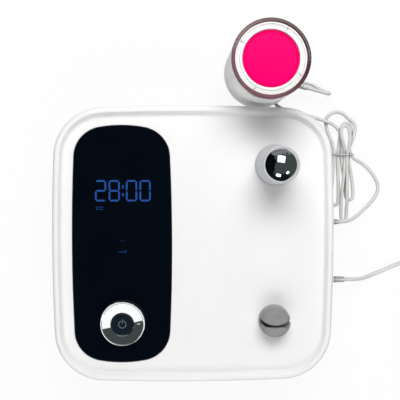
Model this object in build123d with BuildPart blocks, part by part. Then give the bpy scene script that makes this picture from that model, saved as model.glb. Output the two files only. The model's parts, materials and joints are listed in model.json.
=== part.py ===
from build123d import *
import os
from math import cos, radians, sin, sqrt, tan

# An ultrasound therapy device: a tabletop console, its treatment head standing behind it, and their leads.
# In millimetres. The origin is on the table, under the middle of the box round the console and the head.
# +Z is up, and +Y runs to the back.

# ---------------------------------------------------------------- driving dimensions
# console
console_half_x = 129.2  # half width at the waist, the widest level
console_half_y = 127.2  # half depth there
console_bow = 3.7  # how far each side bows outwards
console_corner = 46.0
base_z = 3.0  # underside of the case, on its feet
seam_z = 26.0  # where the two halves of the case meet
waist_z = 48.0
rim_z = 64.5  # crest of the rim
tray_z = 60.0  # the flat top inside the rim
side_lean = 6.0  # degrees, below the waist
rim_draft = 0.6  # how far the crest stands in from the waist
rim_crest = 5.6  # from the waist line in to the inner edge of the crest
rim_foot = 8.4  # from the waist line in to the foot of the inner slope
rim_round = 3.2
crest_round = 1.2
tray_round = 2.0
base_round = 4.0
case_wall = 2.6
tray_floor = 2.8

# window, its frame and its display
window_x, window_y = -65.4, 0.0  # from the console's middle
window_half_x, window_half_y = 45.7, 109.0
window_side_bow, window_end_bow = 2.8, 8.3
window_corner = 28.0
window_proud = 0.8
window_thick = 2.6
window_bevel = 0.6
gasket_thick = 0.6
ledge_width = 4.0
frame_margin = 3.0
frame_depth = 3.0
display_board_half_x, display_board_half_y = 47.8, 96.0
display_drop = 7.9  # from the tray's top down to the display board's top
digit_width, digit_height = 10.2, 19.4
digit_pitch, colon_pitch = 12.35, 15.75
segment_width = 1.5
digits_x, digits_y = -64.45, 49.2  # middle of the colon
digits_shown = ("2", "8", "0", "0")

# knob and button
knob_x, knob_y = -65.05, -72.3
knob_r = 20.45
knob_hole_r = 10.4
knob_height = 6.0
knob_fall = 1.8  # how far the ring's face falls from its inner edge to its outer one
button_r = 10.1
button_travel = 0.8
stem_r = 5.0
hub_wall = 1.95
hub_flange_r = 17.0

# rest post with its dome, and cord clip
post_x, post_y = 74.9, 72.6
post_foot_r, post_top_r = 18.4, 16.3
post_height = 40.0
dome_r = 14.1  # at the dome's edge, on the post
dome_surface_r = 18.4
clip_x, clip_y = 74.1, -70.2
clip_r = 14.0
clip_height = 16.0
clip_channel_r = 3.2

# treatment head
head_x = 65.0
head_r = 34.1
head_height = 106.0
head_gap = 2.3  # between the head and the console's waist
head_wall = 2.4
cap_height = 16.0
cap_round = 10.0
seat_r = dome_surface_r + 0.3
seat_apex_z = 7.8
rim_band = 3.1  # width of the clear rim
rim_tall = 8.0
land_r = head_r - 9.5  # inner radius of the bezel
relief_angle = -16.0
relief_z = 10.0
relief_reach = head_r + 15.9

# leads and plugs
lead_d = 3.4
power_d = 3.8
jack_z = 13.0
lead_jack_y, power_jack_y = 16.9, -40.3
plug_r = 5.25
coil_r = 22.0
coil_section = 12.0

# clearances
running = 0.06
gap = 0.3
fit = 0.1

# ---------------------------------------------------------------- places
lean = tan(radians(side_lean))


def lean_inset(z):
    """How far the leaning side stands in from the waist line at height z."""
    return (waist_z - z) * lean


head_bow = console_bow * (head_x / console_half_x) ** 2
head_offset = console_half_y - head_bow + head_gap + head_r
console_y = -(head_offset + head_r - console_half_y) / 2
head_y = console_y + head_offset
window_centre = (window_x, console_y + window_y)
knob_centre = (knob_x, console_y + knob_y)
post_centre = (post_x, console_y + post_y)
clip_centre = (clip_x, console_y + clip_y)
head_centre = (head_x, head_y)


def at(centre, z=0):
    """A level plane whose origin is over centre."""
    return Plane((centre[0], centre[1], z))


def bowed_outline(centre, z, half_x, half_y, side_bow, end_bow, corner):
    """A face: a rounded rectangle whose sides bow outwards."""
    x, y = half_x - side_bow, half_y - end_bow
    with BuildSketch(at(centre, z)) as outline:
        with BuildLine():
            ThreePointArc((x, -y), (half_x, 0), (x, y))
            ThreePointArc((x, y), (0, half_y), (-x, y))
            ThreePointArc((-x, y), (-half_x, 0), (-x, -y))
            ThreePointArc((-x, -y), (0, -half_y), (x, -y))
        make_face()
        fillet(outline.vertices(), corner)
    return outline.sketch


def console_outline(z, inset):
    """The console's plan at height z, moved inwards by inset."""
    return bowed_outline(
        (0, console_y), z, console_half_x - inset, console_half_y - inset, console_bow, console_bow,
        console_corner - inset,
    )


def console_body(low, low_inset, high, high_inset, mode=Mode.ADD):
    """The body between two of the console's plans."""
    loft([console_outline(low, low_inset), console_outline(high, high_inset)], ruled=True, mode=mode)


def window_outline(z, inset):
    """The window's plan at height z, moved inwards by inset."""
    return bowed_outline(
        window_centre, z, window_half_x - inset, window_half_y - inset, window_side_bow, window_end_bow,
        window_corner - inset,
    )


def turned(centre, profile, mode=Mode.ADD):
    """A turned shape: a closed outline of (radius, height) points, spun round the axis over centre."""
    x, y = centre
    with BuildSketch(Plane((x, y, 0), x_dir=(1, 0, 0), z_dir=(0, -1, 0))) as section:
        with BuildLine():
            Polyline(*profile, close=True)
        make_face()
    revolve(section.sketch, axis=Axis((x, y, 0), (0, 0, 1)), mode=mode)


def disc(centre, radius, low, high, mode=Mode.ADD):
    """An upright cylinder over centre between two heights."""
    with BuildSketch(at(centre, low)) as plan:
        Circle(radius)
    extrude(plan.sketch, amount=high - low, mode=mode)


def block(centre, size_x, size_y, low, high, mode=Mode.ADD):
    """An upright box over centre between two heights."""
    with BuildSketch(at(centre, low)) as plan:
        Rectangle(size_x, size_y)
    extrude(plan.sketch, amount=high - low, mode=mode)


def write(builder, name):
    """Labels a finished piece and writes it."""
    builder.part.label = name
    export_step(builder.part, f"parts/{name}.step")


os.makedirs("parts", exist_ok=True)

# ---------------------------------------------------------------- console: lower case
floor_top = base_z + case_wall
corner_screw_x, corner_screw_y = console_half_x - 23.4, console_half_y - 23.7
foot_x, foot_y = console_half_x - 41.0, console_half_y - 41.0
foot_r, foot_seat = 8.0, 1.0
boss_r = 5.0
boss_split_z = seam_z - 2.0
screw_r, screw_head_r, screw_head_z = 1.6, 3.6, 3.6
lip_thick, lip_low, lip_high = 1.2, seam_z - 5.0, seam_z + 2.5
lip_inset = lean_inset(seam_z) + case_wall + 0.15
board_half_x, board_half_y = 64.0, 74.0
board_x = console_half_x - 76.2  # the sockets at the board's edge reach the case's side
board_z, board_thick = 7.0, 1.6
board_screw_x, board_screw_y = board_half_x - 6.0, board_half_y - 6.0
board_top = board_z + board_thick
small_screw_r, small_head_r, small_head_height = 1.25, 2.7, 1.8
jack_nose_r = 4.4
land_x = console_half_x - lean_inset(jack_z) - 0.5  # flat seat round each socket
jack_front_x = console_half_x - lean_inset(board_top) - case_wall - 0.6
corner_screws = [(sx * corner_screw_x, sy * corner_screw_y) for sx in (-1, 1) for sy in (-1, 1)]
feet = [(sx * foot_x, sy * foot_y) for sx in (-1, 1) for sy in (-1, 1)]
board_screw_spots = [(board_x + sx * board_screw_x, sy * board_screw_y) for sx in (-1, 1) for sy in (-1, 1)]

with BuildPart() as lower_case:
    console_body(base_z, lean_inset(base_z), seam_z, lean_inset(seam_z))
    fillet(lower_case.edges().group_by(Axis.Z)[0], base_round)
    console_body(
        floor_top, lean_inset(floor_top) + case_wall,
        seam_z, lean_inset(seam_z) + case_wall, mode=Mode.SUBTRACT,
    )
    extrude(console_outline(lip_low, lip_inset), amount=lip_high - lip_low)
    extrude(console_outline(lip_low, lip_inset + lip_thick), amount=lip_high - lip_low, mode=Mode.SUBTRACT)
    with BuildSketch(at((0, console_y), floor_top - 0.5)):
        with Locations(*corner_screws):
            Circle(boss_r)
    extrude(amount=boss_split_z - floor_top + 0.5)
    with BuildSketch(at((0, console_y), floor_top - 0.5)):
        with Locations(*board_screw_spots):
            Circle(3.5)
    extrude(amount=board_z - floor_top + 0.5)
    with BuildSketch(at((0, console_y), base_z)):
        with Locations(*corner_screws):
            Circle(screw_head_r + gap)
    extrude(amount=screw_head_z, mode=Mode.SUBTRACT)
    with BuildSketch(at((0, console_y), base_z)):
        with Locations(*corner_screws):
            Circle(screw_r + fit)
    extrude(amount=boss_split_z, mode=Mode.SUBTRACT)
    with BuildSketch(at((0, console_y), base_z)):
        with Locations(*feet):
            Circle(foot_r + fit)
    extrude(amount=foot_seat, mode=Mode.SUBTRACT)
    with BuildSketch(at((0, console_y), base_z + 1.0)):
        with Locations(*board_screw_spots):
            Circle(small_screw_r + running)
    extrude(amount=board_z, mode=Mode.SUBTRACT)
    for jack_y in (lead_jack_y, power_jack_y):
        wall_spot = (0, console_y + jack_y, jack_z)
        with BuildSketch(Plane(wall_spot, x_dir=(0, 1, 0), z_dir=(1, 0, 0)).offset(land_x)):
            Circle(plug_r + 1.0)
        extrude(amount=6.0, mode=Mode.SUBTRACT)
        with BuildSketch(Plane(wall_spot, x_dir=(0, 1, 0), z_dir=(1, 0, 0)).offset(land_x - 6.0)):
            Circle(jack_nose_r + fit)
        extrude(amount=12.0, mode=Mode.SUBTRACT)
    with BuildSketch(at((-30.0, console_y - 96.0), base_z)):
        with GridLocations(9.0, 0, 9, 1):
            SlotOverall(20.0, 2.4, rotation=90)
    extrude(amount=case_wall, mode=Mode.SUBTRACT)
write(lower_case, "lower_case")

# ---------------------------------------------------------------- console: upper case
shell_top = tray_z - tray_floor
ledge_z = tray_z + window_proud - window_thick - gasket_thick
frame_low = ledge_z - frame_depth
display_board_top = tray_z - display_drop
display_board_thick = 1.6
display_board_low = display_board_top - display_board_thick
display_boss_r = 2.9
display_boss_x = window_half_x - 1.0
display_bosses = [(sx * display_boss_x, sy * 58.0) for sx in (-1, 1) for sy in (-1, 0, 1)]
pin_hole_r = 2.2  # for the post's and the clip's screws

with BuildPart() as upper_case:
    console_body(seam_z, lean_inset(seam_z), waist_z, 0)
    console_body(waist_z, 0, rim_z, rim_draft)
    fillet(upper_case.edges().group_by(Axis.Z)[-1], rim_round)
    console_body(tray_z, rim_foot, rim_z, rim_crest, mode=Mode.SUBTRACT)
    crest = upper_case.faces().filter_by(GeomType.PLANE).sort_by(Axis.Z)[-1]
    fillet(crest.inner_wires()[0].edges(), crest_round)
    flats = upper_case.faces().filter_by(GeomType.PLANE)
    tray = flats.filter_by_position(Axis.Z, tray_z - 0.01, tray_z + 0.01)[0]
    fillet(tray.outer_wire().edges(), tray_round)
    console_body(seam_z, lean_inset(seam_z) + case_wall, waist_z, case_wall, mode=Mode.SUBTRACT)
    console_body(waist_z, case_wall, shell_top, case_wall + 0.4, mode=Mode.SUBTRACT)
    extrude(window_outline(frame_low, -frame_margin), amount=shell_top + 0.5 - frame_low)
    extrude(window_outline(ledge_z, -fit), amount=rim_z - ledge_z, mode=Mode.SUBTRACT)
    extrude(window_outline(frame_low - 1.0, ledge_width), amount=rim_z - frame_low, mode=Mode.SUBTRACT)
    with BuildSketch(at((0, console_y), boss_split_z)):
        with Locations(*corner_screws):
            Circle(boss_r)
    extrude(amount=shell_top + 0.5 - boss_split_z)
    with BuildSketch(at((0, console_y), boss_split_z)):
        with Locations(*corner_screws):
            Circle(screw_r + running)
    extrude(amount=14.0, mode=Mode.SUBTRACT)
    with BuildSketch(at(window_centre, display_board_top)):
        with Locations(*display_bosses):
            Circle(display_boss_r)
    extrude(amount=frame_low + 0.5 - display_board_top)
    with BuildSketch(at(window_centre, display_board_top)):
        with Locations(*display_bosses):
            Circle(small_screw_r + running)
    extrude(amount=4.0, mode=Mode.SUBTRACT)
    for spot in (post_centre, clip_centre):
        disc(spot, pin_hole_r, shell_top - 1.0, tray_z + 1.0, mode=Mode.SUBTRACT)
write(upper_case, "upper_case")

with BuildPart() as rubber_feet:
    with BuildSketch(at((0, console_y))):
        with Locations(*feet):
            Circle(foot_r)
    extrude(amount=base_z + foot_seat)
    chamfer(rubber_feet.edges().group_by(Axis.Z)[0], 0.5)
write(rubber_feet, "rubber_feet")

with BuildPart() as case_screws:
    with BuildSketch(at((0, console_y), base_z + 0.6)):
        with Locations(*corner_screws):
            Circle(screw_head_r)
            RegularPolygon(1.3, 6, mode=Mode.SUBTRACT)
    extrude(amount=screw_head_z - 0.6)
    with BuildSketch(at((0, console_y), base_z + 1.8)):
        with Locations(*corner_screws):
            Circle(screw_r)
    extrude(amount=boss_split_z + 12.0 - base_z - 1.8)
write(case_screws, "case_screws")

# ---------------------------------------------------------------- window, gasket and display
gasket_top = ledge_z + gasket_thick
window_top = gasket_top + window_thick
hub_bore_r = stem_r + 0.08 + 1.5 + running
hub_r = hub_bore_r + hub_wall
segment_fit = 0.05
bar_gap = 0.3  # from a bar's tip to the corner where two bars would meet
digit_across = digit_width - segment_width - 2 * bar_gap


def digit_bars(digit):
    """The lit bars of a seven-segment digit, as (x, y, width, height) round its middle."""
    lit = {"0": "abcdef", "2": "abged", "8": "abcdefg"}[digit]
    half_x, half_y = (digit_width - segment_width) / 2, (digit_height - segment_width) / 2
    across, down = digit_across, half_y - 2 * bar_gap
    places = {
        "a": (0, half_y, across, segment_width),
        "b": (half_x, half_y / 2, segment_width, down),
        "c": (half_x, -half_y / 2, segment_width, down),
        "d": (0, -half_y, across, segment_width),
        "e": (-half_x, -half_y / 2, segment_width, down),
        "f": (-half_x, half_y / 2, segment_width, down),
        "g": (0, 0, across, segment_width),
    }
    return [places[bar] for bar in lit]


lit_bars = []
for digit, digit_offset in zip(
    digits_shown,
    (-colon_pitch / 2 - digit_pitch, -colon_pitch / 2, colon_pitch / 2, colon_pitch / 2 + digit_pitch),
):
    for bar_x, bar_y, bar_w, bar_h in digit_bars(digit):
        lit_bars.append((digits_x + digit_offset + bar_x, digits_y + bar_y, bar_w, bar_h))
for colon_y in (-3.6, 3.6):
    lit_bars.append((digits_x, digits_y + colon_y, 1.3, 2.6))
# the small labels: a list glyph for the time, a pair of dashes, and a rising row of bars for the strength
lit_bars += [(-84.4, 34.4, 4.4, 0.8), (-84.4, 32.2, 4.4, 0.8), (-88.2, 33.3, 1.3, 3.0)]
lit_bars += [(-66.2, 3.5, 1.5, 0.8), (-63.8, 3.5, 1.5, 0.8)]
lit_bars += [(-68.1 + 2.0 * step, -7.1 + 0.25 * step, 1.1, 1.0 + 0.5 * step) for step in range(4)]


def lit_outline(low, spread):
    """The lit bars' plan, each bar wider by spread all round; the digits' bars end in points."""
    with BuildSketch(at((0, console_y), low)) as plan:
        for bar_x, bar_y, bar_w, bar_h in lit_bars:
            half_w, half_h = bar_w / 2 + spread, bar_h / 2 + spread
            tip = min(half_w, half_h) if bar_w in (segment_width, digit_across) else 0
            with Locations((bar_x, bar_y)):
                if not tip:
                    Rectangle(2 * half_w, 2 * half_h)
                elif half_w > half_h:
                    Polygon(
                        (-half_w, 0), (tip - half_w, half_h), (half_w - tip, half_h),
                        (half_w, 0), (half_w - tip, -half_h), (tip - half_w, -half_h),
                    )
                else:
                    Polygon(
                        (0, half_h), (-half_w, half_h - tip), (-half_w, tip - half_h),
                        (0, -half_h), (half_w, tip - half_h), (half_w, half_h - tip),
                    )
    return plan.sketch


with BuildPart() as window_gasket:
    extrude(window_outline(ledge_z, fit), amount=gasket_thick)
    extrude(window_outline(ledge_z, ledge_width), amount=gasket_thick, mode=Mode.SUBTRACT)
write(window_gasket, "window_gasket")

with BuildPart() as display_window:
    extrude(window_outline(gasket_top, fit), amount=window_thick)
    chamfer(display_window.edges().group_by(Axis.Z)[-1], window_bevel)
    disc(knob_centre, hub_r + 0.6, gasket_top - 1.0, window_top + 1.0, mode=Mode.SUBTRACT)
    extrude(lit_outline(gasket_top - 1.0, segment_fit), amount=window_thick + 2.0, mode=Mode.SUBTRACT)
write(display_window, "display_window")

with BuildPart() as display_segments:
    extrude(lit_outline(display_board_top, 0), amount=window_top - display_board_top)
write(display_segments, "display_segments")

with BuildPart() as display_board:
    with BuildSketch(at(window_centre, display_board_low)):
        RectangleRounded(2 * display_board_half_x, 2 * display_board_half_y, 4.0)
        with Locations(*display_bosses):
            Circle(small_screw_r + fit, mode=Mode.SUBTRACT)
    extrude(amount=display_board_thick)
write(display_board, "display_board")

# ---------------------------------------------------------------- knob, button and what carries them
knob_low = window_top + 0.4
knob_top = knob_low + knob_height
flange_low = window_top + gap
flange_top = flange_low + 1.5
lip_under = flange_top + 2.3
knob_edge = knob_top - knob_fall
mark_z = knob_top - 0.78 * knob_fall
bead_up = 0.6
button_flange_r = knob_hole_r + 1.0
sleeve_r = stem_r + 0.08 + 1.5
sleeve_top = flange_top
base_top = display_board_top + 0.6
housing_top = display_board_top + 4.9
switch_top = display_board_top + 3.3
stem_low = switch_top + button_travel + gap

with BuildPart() as encoder_body:
    disc(knob_centre, 15.0, display_board_top, housing_top)
    disc(knob_centre, hub_r + gap, base_top, housing_top, mode=Mode.SUBTRACT)
    disc(knob_centre, sleeve_r, base_top, sleeve_top)
    disc(knob_centre, stem_r + 0.08, display_board_top, sleeve_top, mode=Mode.SUBTRACT)
write(encoder_body, "encoder_body")

with BuildPart() as knob_hub:
    turned(knob_centre, [
        (hub_bore_r, base_top + gap), (hub_r, base_top + gap), (hub_r, flange_low),
        (hub_flange_r, flange_low), (hub_flange_r, flange_top), (hub_bore_r, flange_top),
    ])
write(knob_hub, "knob_hub")

with BuildPart() as knob_ring:
    turned(knob_centre, [
        (hub_flange_r + 0.02, knob_low), (knob_r - 0.6, knob_low), (knob_r, knob_low + 0.6),
        (knob_r, knob_edge), (knob_r - 0.5, knob_edge + bead_up), (knob_r - 1.2, knob_edge + bead_up),
        (knob_r - 1.7, knob_edge), (knob_hole_r + 0.5, knob_top), (knob_hole_r, knob_top - 0.5),
        (knob_hole_r, lip_under),
        (button_flange_r + 0.6, lip_under), (button_flange_r + 0.6, flange_top),
        (hub_flange_r + 0.02, flange_top),
    ])
    # the two marks, plus at the left and minus at the right, sunk into the sloping face
    with BuildSketch(at(knob_centre, mark_z)):
        with Locations((-14.8, 0.2)):
            Rectangle(2.6, 0.6)
            Rectangle(0.6, 2.6)
        with Locations((14.8, 0.2)):
            Rectangle(2.6, 0.6)
    extrude(amount=2.0, mode=Mode.SUBTRACT)
write(knob_ring, "knob_ring")

cap_flange_low = lip_under - gap - 0.8
symbol_r, symbol_line = 3.6, 0.55
button_top = knob_top - 0.2
with BuildPart() as button_cap:
    disc(knob_centre, button_flange_r, cap_flange_low, lip_under - gap)
    disc(knob_centre, button_r, cap_flange_low, button_top)
    fillet(button_cap.edges().group_by(Axis.Z)[-1], 0.5)
    disc(knob_centre, stem_r, stem_low, cap_flange_low)
    # the power symbol's seat: an open ring and a bar
    with BuildSketch(at(knob_centre, button_top - 0.4)):
        Circle(symbol_r)
        Circle(symbol_r - symbol_line, mode=Mode.SUBTRACT)
        with Locations((0, symbol_r)):
            Rectangle(2.4, 3.0, mode=Mode.SUBTRACT)
        with Locations((0, symbol_r - 0.8)):
            Rectangle(symbol_line, 3.6)
    extrude(amount=1.0, mode=Mode.SUBTRACT)
write(button_cap, "button_cap")

with BuildPart() as power_symbol:
    with BuildSketch(at(knob_centre, button_top - 0.4)):
        Circle(symbol_r)
        Circle(symbol_r - symbol_line, mode=Mode.SUBTRACT)
        with Locations((0, symbol_r)):
            Rectangle(2.4, 3.0, mode=Mode.SUBTRACT)
        with Locations((0, symbol_r - 0.8)):
            Rectangle(symbol_line, 3.6)
    extrude(amount=0.4)
write(power_symbol, "power_symbol")

plunger_r = 1.7
plunger_sunk = 1.2
with BuildPart() as switch_plunger:
    disc(knob_centre, plunger_r, switch_top - plunger_sunk + button_travel, stem_low)
write(switch_plunger, "switch_plunger")

with BuildPart() as tact_switch:
    block(knob_centre, 6.2, 6.2, display_board_top, switch_top)
    disc(knob_centre, plunger_r + 0.2, switch_top - plunger_sunk - gap, switch_top, mode=Mode.SUBTRACT)
write(tact_switch, "tact_switch")

# ---------------------------------------------------------------- rest post and its dome
post_top = tray_z + post_height
dome_centre_z = post_top - sqrt(dome_surface_r**2 - dome_r**2)
dome_low = post_top - 0.8  # the dome stands in a shallow pocket
dome_hole_top = post_top + 2.6
post_screw_r = pin_hole_r - 0.2
post_core_r = 5.0
post_hollow_top = tray_z + 24.0

with BuildPart() as rest_post:
    turned(post_centre, [
        (0, tray_z), (post_foot_r, tray_z), (post_foot_r, tray_z + 0.8), (post_foot_r - 0.7, tray_z + 2.4),
        (post_top_r, post_top), (0, post_top),
    ])
    fillet(rest_post.edges().group_by(Axis.Z)[-1], 1.2)
    disc(post_centre, dome_r + fit, dome_low, post_top + 1.0, mode=Mode.SUBTRACT)
    disc(post_centre, post_foot_r - 4.4, tray_z, post_hollow_top, mode=Mode.SUBTRACT)
    disc(post_centre, post_core_r, tray_z, post_hollow_top)
    disc(post_centre, post_screw_r + fit, tray_z, post_top, mode=Mode.SUBTRACT)
write(rest_post, "rest_post")

with BuildPart() as rest_dome:
    with Locations((post_centre[0], post_centre[1], dome_centre_z)):
        Sphere(dome_surface_r)
    disc(post_centre, dome_surface_r + 1.0, dome_centre_z - dome_surface_r - 1.0, post_top, mode=Mode.SUBTRACT)
    disc(post_centre, dome_r, dome_low, post_top)
    disc(post_centre, post_screw_r + running, dome_low, dome_hole_top, mode=Mode.SUBTRACT)
write(rest_dome, "rest_dome")

with BuildPart() as post_screw:
    disc(post_centre, 5.2, shell_top - 2.6, shell_top)
    disc(post_centre, post_screw_r, shell_top, dome_hole_top - 0.4)
    disc(post_centre, 2.4, shell_top - 2.6, shell_top - 1.1, mode=Mode.SUBTRACT)
write(post_screw, "post_screw")

# ---------------------------------------------------------------- cord clip
clip_top = tray_z + clip_height
channel_y = -1.6  # from the clip's middle
channel_z = tray_z + 7.0
clip_front_z = clip_top - 2.6
clip_screw_top = channel_z - clip_channel_r - 1.0
with BuildPart() as cord_clip:
    # a turned puck with a domed top
    with BuildSketch(Plane((clip_centre[0], clip_centre[1], 0), x_dir=(1, 0, 0), z_dir=(0, -1, 0))):
        with BuildLine():
            Line((0, tray_z), (clip_r, tray_z))
            Line((clip_r, tray_z), (clip_r, clip_top - 5.0))
            ThreePointArc(
                (clip_r, clip_top - 5.0), (clip_r - 3.2, clip_top - 1.5), (clip_r - 8.0, clip_top - 0.3)
            )
            Line((clip_r - 8.0, clip_top - 0.3), (0, clip_top))
            Line((0, clip_top), (0, tray_z))
        make_face()
    revolve(axis=Axis((clip_centre[0], clip_centre[1], 0), (0, 0, 1)))
    # the round channel for the lead, then the mouth above it, between the smiling lip and the straight ridge
    channel_middle = (0, clip_centre[1] + channel_y, channel_z)
    with BuildSketch(Plane(channel_middle, x_dir=(0, 1, 0), z_dir=(1, 0, 0))):
        Circle(clip_channel_r)
    extrude(amount=clip_x + clip_r + 2.0, mode=Mode.SUBTRACT)
    with BuildSketch(at(clip_centre, channel_z)):
        with BuildLine():
            ThreePointArc((-clip_r - 1.0, 5.6), (0, -2.1), (clip_r + 1.0, 5.6))
            Line((clip_r + 1.0, 5.6), (clip_r + 1.0, 0.6))
            Line((clip_r + 1.0, 0.6), (8.6, -4.4))
            Line((8.6, -4.4), (-8.6, -4.4))
            Line((-8.6, -4.4), (-clip_r - 1.0, 0.6))
            Line((-clip_r - 1.0, 0.6), (-clip_r - 1.0, 5.6))
        make_face()
    extrude(amount=clip_height, mode=Mode.SUBTRACT)
    # the front lip stands lower than the dome
    with BuildSketch(at(clip_centre, clip_front_z)):
        with Locations((0, -4.4 - clip_r)):
            Rectangle(3 * clip_r, 2 * clip_r)
    extrude(amount=clip_height, mode=Mode.SUBTRACT)
    disc(clip_centre, 1.6, tray_z, clip_screw_top, mode=Mode.SUBTRACT)
write(cord_clip, "cord_clip")

with BuildPart() as clip_screw:
    disc(clip_centre, 4.0, shell_top - 2.0, shell_top)
    disc(clip_centre, 1.5, shell_top, clip_screw_top - 0.4)
write(clip_screw, "clip_screw")

# ---------------------------------------------------------------- console: electronics
with BuildPart() as main_board:
    with BuildSketch(at((board_x, console_y), board_z)):
        RectangleRounded(2 * board_half_x, 2 * board_half_y, 3.0)
        with GridLocations(2 * board_screw_x, 2 * board_screw_y, 2, 2):
            Circle(small_screw_r + fit, mode=Mode.SUBTRACT)
    extrude(amount=board_thick)
write(main_board, "main_board")

with BuildPart() as board_screws:
    with BuildSketch(at((0, console_y), board_top)):
        with Locations(*board_screw_spots):
            Circle(small_head_r)
    extrude(amount=small_head_height)
    with BuildSketch(at((0, console_y), base_z + 1.4)):
        with Locations(*board_screw_spots):
            Circle(small_screw_r)
    extrude(amount=board_top - base_z - 1.4)
    with BuildSketch(at(window_centre, display_board_low - small_head_height)):
        with Locations(*display_bosses):
            Circle(small_head_r)
    extrude(amount=small_head_height)
    with BuildSketch(at(window_centre, display_board_low)):
        with Locations(*display_bosses):
            Circle(small_screw_r)
    extrude(amount=display_board_thick + 3.6)
write(board_screws, "board_screws")

with BuildPart() as drive_transformer:
    block((board_x + 25.0, console_y + 44.0), 30.0, 24.0, board_top, board_top + 4.0)
    block((board_x + 25.0, console_y + 44.0), 26.0, 16.0, board_top + 4.0, board_top + 20.0)
    block((board_x + 25.0, console_y + 44.0), 30.0, 22.0, board_top + 7.0, board_top + 17.0)
write(drive_transformer, "drive_transformer")

fin_count, fin_pitch = 9, 5.0
with BuildPart() as heat_sink:
    block((board_x - 23.0, console_y + 44.0), 6.0, 46.0, board_top, board_top + 26.0)
    with BuildSketch(at((board_x - 23.0, console_y + 44.0), board_top)):
        with GridLocations(0, fin_pitch, 1, fin_count):
            Rectangle(26.0, 1.6)
    extrude(amount=26.0)
write(heat_sink, "heat_sink")

with BuildPart() as capacitors:
    with BuildSketch(at((board_x + 32.0, console_y - 14.0), board_top)):
        with GridLocations(13.0, 13.0, 2, 2):
            Circle(5.0)
    extrude(amount=18.0)
    fillet(capacitors.edges().group_by(Axis.Z)[-1], 0.8)
write(capacitors, "capacitors")

with BuildPart() as buzzer:
    disc((board_x - 13.0, console_y - 48.0), 7.0, board_top, board_top + 7.0)
    disc((board_x - 13.0, console_y - 48.0), 1.2, board_top + 5.0, board_top + 7.0, mode=Mode.SUBTRACT)
write(buzzer, "buzzer")

ribbon_width, ribbon_thick = 24.0, 1.0
ribbon_from, ribbon_to = board_x - 57.0, window_x + 29.4
with BuildPart() as ribbon_cable:
    with BuildSketch(Plane((0, console_y + ribbon_width / 2, 0), x_dir=(1, 0, 0), z_dir=(0, -1, 0))):
        with BuildLine():
            FilletPolyline(
                (ribbon_from, board_top), (ribbon_from, 30.0), (ribbon_to, 36.0),
                (ribbon_to, display_board_low), radius=5.0,
            )
        trace(line_width=ribbon_thick)
    extrude(amount=ribbon_width)
write(ribbon_cable, "ribbon_cable")

with BuildPart() as ballast_plate:
    with BuildSketch(at((-66.0, console_y), floor_top)):
        RectangleRounded(84.0, 150.0, 6.0)
    extrude(amount=4.0)
write(ballast_plate, "ballast_plate")


def socket(jack_y, bore_r, pin_r):
    """A board socket: a block on the main board with a round nose in the wall and a bore along +X."""
    nose = Plane((0, console_y + jack_y, jack_z), x_dir=(0, 1, 0), z_dir=(1, 0, 0))
    block((jack_front_x - 7.0, console_y + jack_y), 14.0, 10.0, board_top, jack_z + 5.2)
    with BuildSketch(nose.offset(jack_front_x)) as nose_face:
        Circle(jack_nose_r)
    extrude(nose_face.sketch, amount=land_x - jack_front_x - 0.2)
    with BuildSketch(nose.offset(jack_front_x - 11.0)) as bore_face:
        Circle(bore_r)
        if pin_r:
            Circle(pin_r, mode=Mode.SUBTRACT)
    extrude(bore_face.sketch, amount=20.0, mode=Mode.SUBTRACT)


with BuildPart() as power_jack:
    socket(power_jack_y, 2.85, 1.05)
write(power_jack, "power_jack")

with BuildPart() as lead_jack:
    socket(lead_jack_y, 1.85, 0)
write(lead_jack, "lead_jack")

# ---------------------------------------------------------------- treatment head
cap_low = 1.2
body_top = head_height - rim_tall
flange_low_z = body_top - 3.0
bore_r = head_r - head_wall
seat_centre_z = seat_apex_z - seat_r
magnet_r = 9.0
magnet_low = seat_apex_z + 1.0
foot_ring_outer = head_r - cap_round - 1.1
foot_ring_inner = foot_ring_outer - 6.0
ring_seat = 0.8
head_screw_ring = bore_r - 7.2
head_boss_r = 3.6
cap_screw_low = cap_low + head_wall + 2.0
head_screw_angles = (45, 165, 285)
spigot_high = cap_height + 4.0
relief_r, relief_tip_r = 3.3, 2.5
relief_dir = Vector(cos(radians(relief_angle)), sin(radians(relief_angle)), 0)
relief_start = head_r - 4.8
relief_flange = 0.8
screw_spots = [
    (head_screw_ring * cos(radians(angle)), head_screw_ring * sin(radians(angle)))
    for angle in head_screw_angles
]
relief_root = Vector(head_x, head_y, relief_z) + relief_dir * relief_start
relief_plane = Plane(origin=relief_root, x_dir=(0, 0, 1), z_dir=relief_dir)

# the hollow of the rear cap follows its rounded foot, and narrows inside the spigot
with BuildPart() as cap_hollow:
    disc(head_centre, bore_r, cap_low + head_wall, cap_height - 3.0)
    fillet(cap_hollow.edges().group_by(Axis.Z)[0], cap_round - head_wall)
    disc(head_centre, bore_r - 2.2, cap_height - 3.5, spigot_high + 1.0)

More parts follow.
